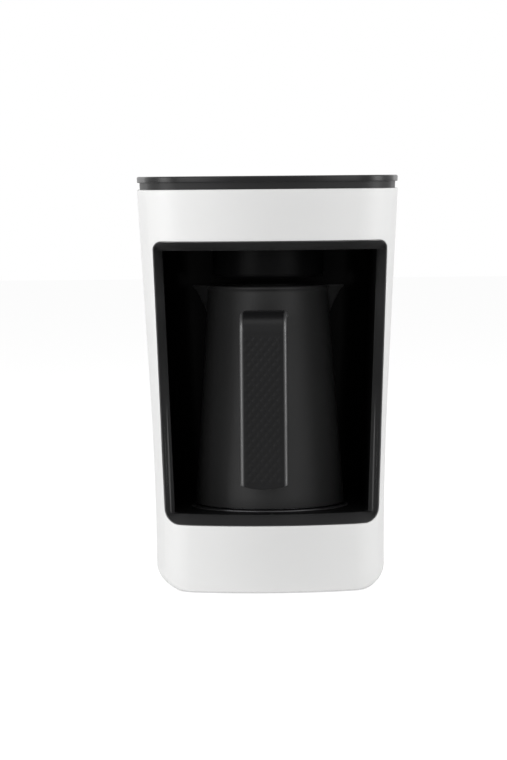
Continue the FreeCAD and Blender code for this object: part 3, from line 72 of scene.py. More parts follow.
camera.matrix_world = looking(eye, AIM) @ Matrix.Rotation(LEAN, 4, "Z")
scene.collection.objects.link(camera)
scene.camera = camera

# ----------------------------------------------------------
# Light: a tall soft box at each side, two wide ones in front, one above, and a plain pale room
# that shows white to the camera and in reflections.
ROOM_LIGHT, WHITE = 0.34, (1, 1, 1, 1)
for name, place, aim_height, width, height, power in (
        ("left_box", (-1.65, -0.35, 0.5), 0.13, 0.7, 1.3, 16),
        ("right_box", (1.7, -0.12, 0.5), 0.13, 0.6, 1.3, 15),
        ("left_front_box", (-1.25, -1.6, 0.5), 0.12, 0.8, 0.9, 7.5),
        ("right_front_box", (1.25, -1.6, 0.5), 0.12, 0.8, 0.9, 5),
        ("top_box", (0.0, -0.9, 1.7), 0.1, 1.2, 0.8, 4)):
    light = bpy.data.lights.new(name, "AREA")
    light.shape = "RECTANGLE"
    light.size, light.size_y, light.energy = width, height, power
    lamp = bpy.data.objects.new(name, light)
    lamp.matrix_world = looking(Vector(place), Vector((0, 0, aim_height)))
    scene.collection.objects.link(lamp)


def feed(tree, node, values):
    """Set a node's inputs: an output of another node is linked, anything else is the value."""
    for key, value in values.items():
        if hasattr(value, "is_output"):
            tree.links.new(value, node.inputs[key])
        else:
            node.inputs[key].default_value = value


def add_node(tree, kind, values={}, **settings):
    """A new node of a tree, with its settings and inputs."""
    node = tree.nodes.new(kind)
    for key, value in settings.items():
        setattr(node, key, value)
    feed(tree, node, values)
    return node


room = bpy.data.worlds.new("pale_room")
scene.world = room
room.use_nodes = True
tree = room.node_tree
tree.nodes.clear()
path = add_node(tree, "ShaderNodeLightPath").outputs
seen = add_node(tree, "ShaderNodeBackground", {"Color": WHITE, "Strength": 1})
lit = add_node(tree, "ShaderNodeBackground", {"Color": WHITE, "Strength": ROOM_LIGHT})
first = add_node(tree, "ShaderNodeMath", {0: path["Is Camera Ray"], 1: path["Is Glossy Ray"]},
                 operation="MAXIMUM")
second = add_node(tree, "ShaderNodeMath", {0: first.outputs[0], 1: path["Is Transmission Ray"]},
                  operation="MAXIMUM")
pick = add_node(tree, "ShaderNodeMixShader", {0: second.outputs[0], 1: lit.outputs[0],
                                              2: seen.outputs[0]})
add_node(tree, "ShaderNodeOutputWorld", {0: pick.outputs[0]})

# ----------------------------------------------------------
# Floor: plain and pale. It reaches white where nothing shades it and keeps the soft shadow
# round the machine's foot.
FLOOR_HALF = 6.0
FLOOR_DULL, FLOOR_GLOW, FLOOR_PLAIN = (0.5, 0.5, 0.5, 1), 0.8, (0.9, 0.9, 0.9, 1)
floor_mesh = bpy.data.meshes.new("floor")
floor_mesh.from_pydata([(x * FLOOR_HALF, y * FLOOR_HALF, 0)
                        for x, y in ((-1, -1), (1, -1), (1, 1), (-1, 1))], [], [(0, 1, 2, 3)])
floor = bpy.data.objects.new("floor", floor_mesh)
scene.collection.objects.link(floor)
pale = bpy.data.materials.new("pale_floor")
pale.use_nodes = True
tree = pale.node_tree
tree.nodes.clear()
dull = add_node(tree, "ShaderNodeBsdfDiffuse", {"Color": FLOOR_DULL})
glow = add_node(tree, "ShaderNodeEmission", {"Strength": FLOOR_GLOW})
plain = add_node(tree, "ShaderNodeBsdfDiffuse", {"Color": FLOOR_PLAIN})
both = add_node(tree, "ShaderNodeAddShader", {0: dull.outputs[0], 1: glow.outputs[0]})
path = add_node(tree, "ShaderNodeLightPath").outputs
pick = add_node(tree, "ShaderNodeMixShader", {0: path["Is Camera Ray"], 1: plain.outputs[0],
                                              2: both.outputs[0]})
add_node(tree, "ShaderNodeOutputMaterial", {0: pick.outputs[0]})
floor_mesh.materials.append(pale)

# ----------------------------------------------------------
# Outer housing: the white moulded shell. Its plan is four shallow arcs with four round corners,
# it widens upward, and the front has the window. Its lower edge covers the base plate's rim and
# turns in roundly along the sides. It is screwed to the base from below.
SHELL_LOW, SHELL_HIGH, SHELL_WALL = 2.0, 240.1, 2.5
CURVE_HEIGHT, TOP_FLARE = 122.0, 10.0
FRONT_CENTRE, FRONT_RADIUS = (0.0, 55.0), 140.0
RIGHT_CENTRE, LEFT_CENTRE, SIDE_RADIUS = (-250.0, 0.0), (250.0, 0.0), 320.0
REAR_CENTRE, REAR_RADIUS = (0.0, -175.0), 260.0
FRONT_CORNER, REAR_CORNER = 26.0, 24.0
WINDOW_LOW, WINDOW_HIGH = 40.4, 209.6
WINDOW_HALF_LOW, WINDOW_HALF_HIGH = 64.0, 70.0
WINDOW_CORNER_LOW, WINDOW_CORNER_HIGH = 9.0, 5.0


def circle_meeting(first, reach_first, second, reach_second, side):
    """Where two circles meet, on the side of the X axis that side's sign gives."""
    first, second = Vector(first), Vector(second)
    span = second - first
    along = (reach_first ** 2 - reach_second ** 2 + span.length ** 2) / (2 * span.length)
    off = math.sqrt(reach_first ** 2 - along ** 2)
    normal = Vector((-span.y, span.x)) / span.length
    middle = first + span * (along / span.length)
    return max((middle + normal * off, middle - normal * off), key=lambda spot: spot.y * side)


front_right = circle_meeting(FRONT_CENTRE, FRONT_RADIUS - FRONT_CORNER,
                             RIGHT_CENTRE, SIDE_RADIUS - FRONT_CORNER, -1)
rear_right = circle_meeting(REAR_CENTRE, REAR_RADIUS - REAR_CORNER,
                            RIGHT_CENTRE, SIDE_RADIUS - REAR_CORNER, 1)
front_left = Vector((-front_right.x, front_right.y))
rear_left = Vector((-rear_right.x, rear_right.y))
WALLS = ((FRONT_CENTRE, FRONT_RADIUS), (RIGHT_CENTRE, SIDE_RADIUS), (REAR_CENTRE, REAR_RADIUS),
         (LEFT_CENTRE, SIDE_RADIUS))
CORNERS = ((front_right, FRONT_CORNER), (rear_right, REAR_CORNER), (rear_left, REAR_CORNER),
           (front_left, FRONT_CORNER))


def heading(start, end):
    return math.atan2(end[1] - start[1], end[0] - start[0])


PLAN = []  # centre, radius, first and last heading of each arc, anticlockwise from the front
for i, (centre, radius) in enumerate(WALLS):
    corner, corner_radius = CORNERS[i]
    start, end = heading(centre, CORNERS[i - 1][0]), heading(centre, corner)
    PLAN.append((centre, radius, start, end if end > start else end + math.tau))
    PLAN.append((corner, corner_radius, end, heading(WALLS[(i + 1) % 4][0], corner)))


def wall_flare(level):
    """How far the walls stand out from the base outline at a level."""
    up = level - SHELL_LOW
    whole = CURVE_HEIGHT * (SHELL_HIGH - SHELL_LOW - CURVE_HEIGHT / 2)
    reach = up * up / 2 if up < CURVE_HEIGHT else CURVE_HEIGHT * (up - CURVE_HEIGHT / 2)
    return TOP_FLARE * reach / whole


def wall_point(round_at, level, inset):
    """A point of the wall: round_at counts the plan's eight arcs from the front's left end."""
    part = int(math.floor(round_at))
    centre, radius, start, end = PLAN[part % 8]
    turn = start + (end - start) * (round_at - part)
    reach = radius + wall_flare(level) - inset
    return (centre[0] + reach * math.cos(turn), centre[1] + reach * math.sin(turn), level)


FOOT_LOW, FRONT_ROUND, SIDE_ROUND = 0.6, 1.0, 9.0


def foot_round(place):
    """The radius of the lower edge: small in front and behind, large along the sides."""
    part, along = divmod(place % 8, 1)
    share = (0, along, 1, 1 - along)[int(part) % 4]
    return FRONT_ROUND + (SIDE_ROUND - FRONT_ROUND) * share * share * (3 - 2 * share)


def tuck(place, level):
    """How far the lower edge has turned in at a level."""
    radius = foot_round(place)
    left = max(radius - max(level - FOOT_LOW, 0), 0)
    return radius - math.sqrt(radius * radius - left * left)


def foot_start(place):
    """The level at which the lower edge begins to turn in."""
    return max(FOOT_LOW + foot_round(place), SHELL_LOW + 0.05)


FRONT_STEPS = np.linspace(-0.99, 1.99, 1500)


def round_at_x(x, level, inset):
    """The place round the front where the wall has a given X."""
    table = [wall_point(step, level, inset)[0] for step in FRONT_STEPS]
    return float(np.interp(x, table, FRONT_STEPS))


ACROSS, UP, TURN_STEPS = 46, 60, 5
PANEL_LEFT, PANEL_RIGHT = -0.9, 1.9
AROUND = [PANEL_LEFT + (PANEL_RIGHT - PANEL_LEFT) * i / ACROSS for i in range(ACROSS)]
for first, last, count in ((PANEL_RIGHT, 2, 4), (2, 3, 16), (3, 4, 14), (4, 5, 28), (5, 6, 14),
                           (6, 7, 16), (7, PANEL_LEFT + 8, 4)):
    AROUND += list(np.linspace(first, last, count)[:-1])


def window_ring(grow):
    """The window's outline in the front view, from its lower left corner, anticlockwise.

    It has ACROSS steps for each level side and UP for each upright one, and half of each
    round corner belongs to either side.
    """
    lean = math.atan2(WINDOW_HALF_HIGH - WINDOW_HALF_LOW, WINDOW_HIGH - WINDOW_LOW)
    low, high = WINDOW_LOW - grow, WINDOW_HIGH + grow
    corners = [(-WINDOW_HALF_LOW, low, WINDOW_CORNER_LOW, math.pi + lean, 1.5 * math.pi),
               (WINDOW_HALF_LOW, low, WINDOW_CORNER_LOW, -math.pi / 2, -lean),
               (WINDOW_HALF_HIGH, high, WINDOW_CORNER_HIGH, -lean, math.pi / 2),
               (-WINDOW_HALF_HIGH, high, WINDOW_CORNER_HIGH, math.pi / 2, math.pi + lean)]
    arcs = []
    for x, z, radius, start, end in corners:
        radius += grow
        reach = radius / math.sin((math.pi - (end - start)) / 2)
        middle = (start + end) / 2
        cx = x + (grow if x > 0 else -grow) - reach * math.cos(middle)
        cz = z - reach * math.sin(middle)
        arcs.append([(cx + radius * math.cos(a), cz + radius * math.sin(a))
                     for a in np.linspace(start, end, TURN_STEPS * 2 + 1)])
    points = []
    for i, count in enumerate((ACROSS, UP, ACROSS, UP)):
        leave, enter = arcs[i], arcs[(i + 1) % 4]
        points += leave[TURN_STEPS:-1]
        run = count - 2 * TURN_STEPS
        for j in range(run):
            share = j / run
            points.append((leave[-1][0] * (1 - share) + enter[0][0] * share,
                           leave[-1][1] * (1 - share) + enter[0][1] * share))
        points += enter[:TURN_STEPS]
    return points


def on_front(points, inset):
    return [wall_point(round_at_x(x, z, inset), z, inset) for x, z in points]


PANEL_SHARES = (0, 0.06, 0.2, 0.45, 0.72, 1)


def front_panel(inset, grow, high):
    """Rows of points on the front wall, from the window's edge out to the panel's border."""
    inner = [(round_at_x(x, z, inset), z) for x, z in window_ring(grow)]
    low = foot_start(PANEL_RIGHT)
    border = [(AROUND[i], foot_start(AROUND[i])) for i in range(ACROSS)]
    border += [(PANEL_RIGHT, low + (high - low) * i / UP) for i in range(UP)]
    border += [(AROUND[ACROSS - i] if i else PANEL_RIGHT, high) for i in range(ACROSS)]
    border += [(PANEL_LEFT, high - (high - low) * i / UP) for i in range(UP)]
    return [[wall_point(a[0] + (b[0] - a[0]) * share, a[1] + (b[1] - a[1]) * share, inset)
             for a, b in zip(inner, border)] for share in PANEL_SHARES]


def wall_ring(level, inset):
    return [wall_point(place, level, inset) for place in AROUND]


def side_rows(inset, high):
    """Rows of points on the sides and the rear, between the front panel's upright borders."""
    places = AROUND[ACROSS:] + [PANEL_LEFT + 8]
    return [[wall_point(place, foot_start(place) + (high - foot_start(place)) * i / UP, inset)
             for place in places] for i in range(UP + 1)]


def foot_ring(share, end, inset):
    """A ring of the lower edge: share runs from where it begins to turn in, down to end."""
    ring = []
    for place in AROUND:
        level = foot_start(place) + (end - foot_start(place)) * share
        ring.append(wall_point(place, level, inset + tuck(place, level)))
    return ring


def make_mesh(name, patches, material, smooth=35):
    """A closed mesh from patches of points in rows, in millimetres; equal points are merged.

    A patch is (rows, closed round), and a cap is a single ring that is filled.
    """
    points, faces = [], []
    for rows, closed in patches:
        start, width = len(points), len(rows[0])
        for row in rows:
            points += row
        if len(rows) == 1:
            faces.append(tuple(range(start, start + width)))
            continue
        for i in range(len(rows) - 1):
            for j in range(width if closed else width - 1):
                a, b = start + i * width + j, start + i * width + (j + 1) % width
                faces.append((a, b, b + width, a + width))
    mesh = bpy.data.meshes.new(name)
    mesh.from_pydata([Vector(point) / 1000 for point in points], [], faces)
    work = bmesh.new()
    work.from_mesh(mesh)
    bmesh.ops.remove_doubles(work, verts=work.verts, dist=2e-6)
    bmesh.ops.dissolve_degenerate(work, edges=work.edges, dist=1e-7)
    bmesh.ops.recalc_face_normals(work, faces=work.faces)
    work.to_mesh(mesh)
    work.free()
    shade(mesh, smooth)
    mesh.materials.append(material)
    item = bpy.data.objects.new(name, mesh)
    scene.collection.objects.link(item)
    return item


def capped(rows):
    """The patches of a tube of closed rows with both ends filled."""
    return [(rows, True), ([rows[0]], False), ([rows[-1]], False)]


def shade(mesh, degrees):
    mesh.polygons.foreach_set("use_smooth", [True] * len(mesh.polygons))
    mesh.set_sharp_from_angle(angle=math.radians(degrees))


def blend(tree, share, first, second):
    """A mix of two colours; a share of 0 gives the first."""
    return add_node(tree, "ShaderNodeMix", {0: share, 6: first, 7: second},
                    data_type="RGBA").outputs[2]


RUBBED = 0.7  # width of the band that wear makes lighter along an edge


def moulded(name, colour, roughness, gloss=0.5, grain=0.6, depth=0.01, mottle=0.05, wear=0.1,
            coat=0.0, metal=0.0):
    """A moulded plastic: fine grain in millimetres, uneven sheen, and edges rubbed lighter."""
    material = bpy.data.materials.new(name)
    material.use_nodes = True
    tree = material.node_tree
    place = add_node(tree, "ShaderNodeTexCoord").outputs["Object"]
    fine = add_node(tree, "ShaderNodeTexNoise", {"Vector": place, "Scale": 1000 / grain,
                                                 "Detail": 3})
    broad = add_node(tree, "ShaderNodeTexNoise", {"Vector": place, "Scale": 22,
                                                  "Detail": 4}).outputs["Fac"]
    bump = add_node(tree, "ShaderNodeBump", {"Height": fine.outputs["Fac"], "Strength": 0.6,
                                             "Distance": depth / 1000})
    sheen = add_node(tree, "ShaderNodeMapRange", {"Value": broad, "To Min": roughness * 0.85,
                                                  "To Max": roughness * 1.15})
    corner = add_node(tree, "ShaderNodeBevel", {"Radius": RUBBED / 1000}, samples=4)
    flat = add_node(tree, "ShaderNodeNewGeometry")
    same = add_node(tree, "ShaderNodeVectorMath", {0: corner.outputs["Normal"],
                                                   1: flat.outputs["Normal"]},
                    operation="DOT_PRODUCT")
    edge = add_node(tree, "ShaderNodeMapRange", {"Value": same.outputs["Value"],
                                                 "From Min": 0.99, "From Max": 0.8,
                                                 "To Max": wear})
    tint = blend(tree, broad, (*[part * (1 - mottle) for part in colour], 1), (*colour, 1))
    rubbed = blend(tree, edge.outputs["Result"], tint,
                   (*[part + (0.9 - part) * 0.25 for part in colour], 1))
    feed(tree, tree.nodes["Principled BSDF"], {
        "Base Color": rubbed, "Roughness": sheen.outputs["Result"], "Metallic": metal,
        "Specular IOR Level": gloss, "Coat Weight": coat, "Coat Roughness": 0.06,
        "Normal": bump.outputs["Normal"]})
    return material


white_shell = moulded("white_shell", (0.78, 0.78, 0.775), 0.48, gloss=0.4, grain=3.5, depth=0.012,
                      mottle=0.012, wear=0.2)
TOP_ROUND, WINDOW_EASE, RIM_WALL = 0.7, 0.5, 1.5
shell_high = SHELL_HIGH - TOP_ROUND
QUARTER = (0, 22.5, 45, 67.5, 90)
TURNS = [math.sin(math.radians(a)) for a in (0, 10, 20, 30, 40, 50, 60, 70, 80, 90)]


def quarter(radius):
    """(how far along, how far in) for each step of a quarter round."""
    return [(radius * math.sin(math.radians(a)), radius * (1 - math.cos(math.radians(a))))
            for a in QUARTER]


lower_edge = [foot_ring(share, FOOT_LOW, 0) for share in TURNS]
rim_low = [wall_point(place, FOOT_LOW, foot_round(place) + 0.5) for place in AROUND]
lower_edge += [rim_low, foot_ring(1, SHELL_LOW, RIM_WALL)]
lower_edge += [foot_ring(share, SHELL_LOW, SHELL_WALL) for share in TURNS[::-1]]
upper_edge = [wall_ring(shell_high + along, back) for along, back in quarter(TOP_ROUND)]
window_edge = [on_front(window_ring(WINDOW_EASE - along), back)
               for along, back in quarter(WINDOW_EASE)]
housing = make_mesh("housing_shell", [
    (front_panel(0, WINDOW_EASE, shell_high), True), (side_rows(0, shell_high), False),
    (front_panel(SHELL_WALL, 0, SHELL_HIGH), True), (side_rows(SHELL_WALL, SHELL_HIGH), False),
    (lower_edge, True), (upper_edge + [wall_ring(SHELL_HIGH, SHELL_WALL)], True),
    (window_edge + [on_front(window_ring(0), SHELL_WALL)], True)], white_shell)
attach(housing, "machine")
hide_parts("outer_housing")

# ----------------------------------------------------------
# Cavity liner: one black moulding. A sloping lip fills the window and leads into the bay, whose
# rear corners are round. A flange lies behind the shell, all round the window.
LIP_WIDTH, LIP_DEPTH, LIP_LAND, LIP_GAP, LIP_SETBACK = 5.7, 12.0, 0.35, 0.2, 0.3
# Faces behind this Y keep the bay's much darker colour, which is painted shade; faces in front get
# the lip's lighter, glossier material.
LIP_END = -50  # faces in front of this Y carry the lip's gloss
LIP_SIDE_BACK, LIP_SIDE_DEPTH = 19.0, 10.0
BAY_LOW, BAY_HIGH = WINDOW_LOW + LIP_WIDTH, WINDOW_HIGH - LIP_WIDTH
BAY_BACK, BAY_CORNER, BAY_WALL = 44.0, 16.0, 2.0
FLANGE_REACH, FLANGE_WALL, LINER_WAIST = 4.0, 2.0, -38.0


def share_up(level):
    return (level - BAY_LOW) / (BAY_HIGH - BAY_LOW)


def bay_half(level, grow=0.0):
    """Half the bay's width at a level."""
    return (WINDOW_HALF_LOW - LIP_WIDTH + grow
            + (WINDOW_HALF_HIGH - WINDOW_HALF_LOW) * share_up(level))


def front_arc_y(level, x, back=0.0):
    """How far forward the front's own arc lies, moved back by an amount."""
    reach = FRONT_RADIUS + wall_flare(level) - back
    return FRONT_CENTRE[1] - math.sqrt(reach * reach - x * x)


def side_edge_y(level):
    """Where the lip's side slope ends on the bay's side wall."""
    low = front_arc_y(BAY_LOW, WINDOW_HALF_LOW) + LIP_SIDE_BACK
    high = front_arc_y(BAY_HIGH, WINDOW_HALF_HIGH) + LIP_SIDE_BACK
    return low + (high - low) * share_up(level)


def lip_corner(level):
    """Where the level slope, the side slope and the bay's floor or roof meet."""
    half, slope = bay_half(level), LIP_SIDE_DEPTH / (LIP_WIDTH - LIP_LAND)
    x = half
    for _ in range(30):
        y = front_arc_y(level, x, LIP_DEPTH)
        x = half + max(0.0, side_edge_y(level) - y) / slope
    return x, front_arc_y(level, x, LIP_DEPTH)


def lip_inner_ring():
    """The slope's inner edge: along the floor, back to the side wall, up it, and round."""
    points = []
    for level, way in ((BAY_LOW, 1), (BAY_HIGH, -1)):
        corner_x, corner_y = lip_corner(level)
        for i in range(ACROSS):
            x = way * corner_x * (2 * i / ACROSS - 1)
            points.append((x, front_arc_y(level, x, LIP_DEPTH), level))
        for i in range(TURN_STEPS):
            share = i / TURN_STEPS
            points.append((way * (corner_x + (bay_half(level) - corner_x) * share),
                           corner_y + (side_edge_y(level) - corner_y) * share, level))
        end = BAY_HIGH + BAY_LOW - level
        run = UP - 2 * TURN_STEPS
        for i in range(run):
            z = level + (end - level) * i / run
            points.append((way * bay_half(z), side_edge_y(z), z))
        far_x, far_y = lip_corner(end)
        for i in range(TURN_STEPS):
            share = i / TURN_STEPS
            points.append((way * (bay_half(end) + (far_x - bay_half(end)) * share),
                           side_edge_y(end) + (far_y - side_edge_y(end)) * share, end))
    return points


def bay_ring(back, narrow, grow=0.0):
    """The bay's outline in the front view at one depth; back None follows the lip's side edge."""
    points = []
    low, high = BAY_LOW - grow, BAY_HIGH + grow
    for level, way in ((low, 1), (high, -1)):
        half = bay_half(level, grow) - narrow
        depth = side_edge_y(level) if back is None else back
        points += [(way * half * (2 * i / ACROSS - 1), depth, level) for i in range(ACROSS)]
        end = low + high - level
        run = UP - 2 * TURN_STEPS
        for i in range(UP):
            share = min(max(i - TURN_STEPS, 0) / run, 1)
            z = level + (end - level) * share
            depth = side_edge_y(z) if back is None else back
            points.append((way * (bay_half(z, grow) - narrow), depth, z))
    return points


def bay_rows(grow):
    """The bay's walls from the side edge to the back, with round rear corners."""
    turn = BAY_CORNER + grow
    rows = []
    for angle in np.linspace(0, math.pi / 2, 9):
        rows.append(bay_ring(BAY_BACK - BAY_CORNER + turn * math.sin(angle),
                             turn * (1 - math.cos(angle)), grow))
    return rows


# The bay's inside is coloured far darker than the lip of the same moulding: painted shade, with a
# duller finish.
bay_black_painted_shade = moulded("bay_black_painted_shade", (0.004, 0.004, 0.0042), 0.36, gloss=0.06, grain=0.5,
                      depth=0.006, mottle=0.15, wear=0.05)
lip_black = moulded("lip_black", (0.026, 0.026, 0.0265), 0.36, gloss=0.7, grain=0.5, depth=0.006,
                    mottle=0.15, wear=0.12)
outer_land = on_front(window_ring(-LIP_GAP - LIP_LAND), LIP_SETBACK)
slope_end = lip_inner_ring()
slope = [[tuple(Vector(a).lerp(Vector(b), share)) for a, b in zip(outer_land, slope_end)]
         for share in (0, 0.33, 0.67, 1)]
inside = slope + [bay_ring(None, 0)] + bay_rows(0)
flange_in = SHELL_WALL + 0.2
outside = [on_front(window_ring(-LIP_GAP - 0.25), LIP_SETBACK),
           on_front(window_ring(-LIP_GAP - 0.07), LIP_SETBACK + 0.07),
           on_front(window_ring(-LIP_GAP), LIP_SETBACK + 0.25),
           on_front(window_ring(-LIP_GAP), flange_in),
           on_front(window_ring(FLANGE_REACH), flange_in),
           on_front(window_ring(FLANGE_REACH), flange_in + FLANGE_WALL),
           on_front(window_ring(-LIP_GAP), flange_in + FLANGE_WALL + 0.4),
           bay_ring(LINER_WAIST, 0, BAY_WALL)] + bay_rows(BAY_WALL)
liner = make_mesh("bay_liner", [
    ([outer_land] + outside, True), (inside, True),
    ([bay_rows(0)[-1]], False), ([bay_rows(BAY_WALL)[-1]], False)], bay_black_painted_shade, 25)


def ease_edges(item, width, angle, segments=2):
    """Round the sharp edges of a piece."""
    bevel = item.modifiers.new("eased", "BEVEL")
    bevel.width = width / 1000
    bevel.segments = segments
    bevel.limit_method = "ANGLE"
    bevel.angle_limit = math.radians(angle)
    bevel.harden_normals = False
    return finished(item)


def finished(item, degrees=35):
    """Turn a piece's modifiers into plain mesh."""
    view = bpy.context.evaluated_depsgraph_get()
    mesh = bpy.data.meshes.new_from_object(item.evaluated_get(view))
    item.modifiers.clear()
    item.data = mesh
    shade(mesh, degrees)
    return item


def take_out(item, tool, degrees):
    """Cut one piece's shape out of another."""
    cut = item.modifiers.new("cut", "BOOLEAN")
    cut.operation, cut.solver, cut.object = "DIFFERENCE", "EXACT", tool
    finished(item, degrees)
    bpy.data.objects.remove(tool)


def circle(radius, level, count=64):
    return [(radius * math.cos(a), radius * math.sin(a), level)
            for a in np.linspace(0, math.tau, count, endpoint=False)]


def drill(item, holes, degrees=35):
    """Take turned holes out of a piece: (x, y, z, radius, length, axis) in millimetres."""
    for x, y, z, radius, length, axis in holes:
        tool = make_mesh("hole", capped([circle(radius, end) for end in (-length / 2, length / 2)]),
                         item.data.materials[0])
        if axis == "Y":
            tool.data.transform(Matrix.Rotation(math.pi / 2, 4, "X"))
        tool.data.transform(Matrix.Translation(Vector((x, y, z)) / 1000))
        take_out(item, tool, degrees)
    return item


ease_edges(liner, 0.45, 18)
POT_Y, PLATE_HOLE, SENSOR_HOLE = -10.0, 48.4, 8
drill(liner, [(0, POT_Y, BAY_LOW - 1, PLATE_HOLE, 6, "Z"),
              (0, POT_Y, BAY_HIGH + 1, SENSOR_HOLE, 6, "Z")], 25)
liner.data.materials.append(lip_black)
# Lip faces get the lighter, glossier material; the bay's faces keep the darker one, which is
# painted shade.
for face in liner.data.polygons:
    x, y, z = face.center * 1000
    outside_bay = abs(x) > bay_half(z) + 0.1 or not BAY_LOW - 0.1 < z < BAY_HIGH + 0.1
    face.material_index = 1 if outside_bay and y < LIP_END else 0
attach(liner, "machine")
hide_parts("cavity_liner")

# ----------------------------------------------------------
# Inlet gland: a black bush in the rear wall, with a flange outside and a nut inside. The hole
# for it goes through the housing.
INLET_HEIGHT, INLET_NECK = 22.0, 5.8
drill(housing, [(0, 85, INLET_HEIGHT, INLET_NECK + 0.2, 20, "Y")])


def turned(name, profile, material, y=0.0, x=0.0, z=0.0, count=96, smooth=35, axis="Z"):
    """A turned piece from (radius, height) steps; a radius of 0 closes an end."""
    item = make_mesh(name, [([circle(r, h, count) for r, h in profile], True)], material, smooth)
    if axis == "Y":
        item.data.transform(Matrix.Rotation(-math.pi / 2, 4, "X"))
    item.data.transform(Matrix.Translation(Vector((x, y, z)) / 1000))
    return item


def rounded(profile, radius_at, steps=4):
    """Round the corners of a closed or open (radius, height) profile; radius_at is by index."""
    done = []
    for i, spot in enumerate(profile):
        radius = radius_at.get(i, 0)
        if not radius:
            done.append(spot)
            continue
        here = Vector(spot)
        back = (Vector(profile[i - 1]) - here).normalized()
        ahead = (Vector(profile[(i + 1) % len(profile)]) - here).normalized()
        half = back.angle(ahead) / 2
        centre = here + (back + ahead).normalized() * (radius / math.sin(half))
        start = here + back * (radius / math.tan(half)) - centre
        end = here + ahead * (radius / math.tan(half)) - centre
        for j in range(steps + 1):
            turn = start.normalized().slerp(end.normalized(), j / steps)
            done.append(tuple(centre + turn * radius))
    return done


base_black = moulded("base_black", (0.018, 0.018, 0.019), 0.5, gloss=0.4, grain=0.35, depth=0.02,
                     mottle=0.15, wear=0.1)
BUSH_BORE, BUSH_COLLAR, BUSH_NUT, COLLAR_THICK = 3.6, 7.5, 8.5, 2.2
low, high = [bound.y * 1000 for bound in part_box("inlet_gland")]
gland = turned("inlet_bush", rounded([
    (BUSH_BORE, low), (BUSH_COLLAR, low), (BUSH_COLLAR, low + COLLAR_THICK),
    (INLET_NECK, low + COLLAR_THICK), (INLET_NECK, high - COLLAR_THICK),
    (BUSH_NUT, high - COLLAR_THICK), (BUSH_NUT, high), (BUSH_BORE, high), (BUSH_BORE, low)],
    {1: 0.4, 6: 0.9, 7: 0.6}), base_black, z=INLET_HEIGHT, axis="Y")
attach(gland, "machine")
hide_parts("inlet_gland")

# ----------------------------------------------------------
# Top collar: the black band in the shadow between shell and lid, and its skirt inside the shell.
BAND_HIGH, SKIRT_LOW = 244.3, 234.1
BAND_INSET, SKIRT_INSET, COLLAR_INNER = 1.8, 2.7, 4.7
band_black = moulded("band_black", (0.012, 0.012, 0.0125), 0.42, gloss=0.26, grain=0.5,
                     depth=0.006, mottle=0.12, wear=0.08)
collar = make_mesh("shadow_band", [([wall_ring(level, inset) for inset, level in (
    (COLLAR_INNER, SKIRT_LOW), (SKIRT_INSET, SKIRT_LOW), (SKIRT_INSET, SHELL_HIGH + 0.02),
    (BAND_INSET, SHELL_HIGH + 0.02), (BAND_INSET, BAND_HIGH), (COLLAR_INNER, BAND_HIGH),
    (COLLAR_INNER, SKIRT_LOW))], True)], band_black)
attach(collar, "machine")
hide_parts("top_collar")

# ----------------------------------------------------------
# Top cover: the glossy black lid. A rim with a round top edge overhangs the band, and a skirt
# holds it. The start button comes up through a guided hole, and two lamps shine behind it.
LID_TOP, LID_UNDER, LID_INSET, LID_ROUND = 248.0, 245.4, 0.4, 1.0
LID_SKIRT_LOW, LID_SKIRT_INSET, LID_SKIRT_INNER = 238.3, 5.0, 6.6
GUIDE_LOW, GUIDE_HIGH, GUIDE_RADIUS = 241.2, 245.5, 11.1
BUTTON_Y, BUTTON_BORE = -62.0, 9.3
LAMP_X, LAMP_Y, LAMP_RADIUS = 8.0, -44.0, 1.5
lid_black = moulded("lid_black", (0.008, 0.008, 0.0085), 0.3, gloss=0.24, grain=2.5, depth=0.004,
                    mottle=0.1, wear=0.1)
lid_rows = [wall_ring(level, inset) for level, inset in (
    (LID_UNDER, LID_SKIRT_INNER), (LID_SKIRT_LOW, LID_SKIRT_INNER),
    (LID_SKIRT_LOW, LID_SKIRT_INSET), (BAND_HIGH, LID_SKIRT_INSET), (BAND_HIGH, LID_INSET + 0.3),
    (BAND_HIGH + 0.1, LID_INSET + 0.1), (BAND_HIGH + 0.3, LID_INSET))]
lid_rows += [wall_ring(LID_TOP - LID_ROUND + along, LID_INSET + back)
             for along, back in quarter(LID_ROUND)]
lid_rows += [wall_ring(LID_TOP, LID_INSET + LID_ROUND + 1.5)]
lid = make_mesh("lid", capped(lid_rows), lid_black)
drill(lid, [(0, BUTTON_Y, LID_TOP, BUTTON_BORE, 12, "Z")]
      + [(way * LAMP_X, LAMP_Y, LID_TOP, LAMP_RADIUS + 0.05, 12, "Z") for way in (-1, 1)])
ease_edges(lid, 0.25, 50)
guide = turned("button_guide", [
    (BUTTON_BORE, GUIDE_LOW), (GUIDE_RADIUS, GUIDE_LOW), (GUIDE_RADIUS, GUIDE_HIGH),
    (BUTTON_BORE, GUIDE_HIGH), (BUTTON_BORE, GUIDE_LOW)], lid_black, y=BUTTON_Y)


def joined(name, items):
    """One piece from several meshes."""
    work = bmesh.new()
    for item in items:
        work.from_mesh(item.data)
    material = items[0].data.materials[0]
    mesh = bpy.data.meshes.new(name)
    work.to_mesh(mesh)
    work.free()
    mesh.materials.append(material)
    for item in items:
        bpy.data.objects.remove(item)
    piece = bpy.data.objects.new(name, mesh)
    scene.collection.objects.link(piece)
    return piece


lid = joined("lid_cover", [lid, guide])
lid.data.set_sharp_from_angle(angle=math.radians(12))  # keeps the flat top's shading flat
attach(lid, "machine")
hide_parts("top_cover")

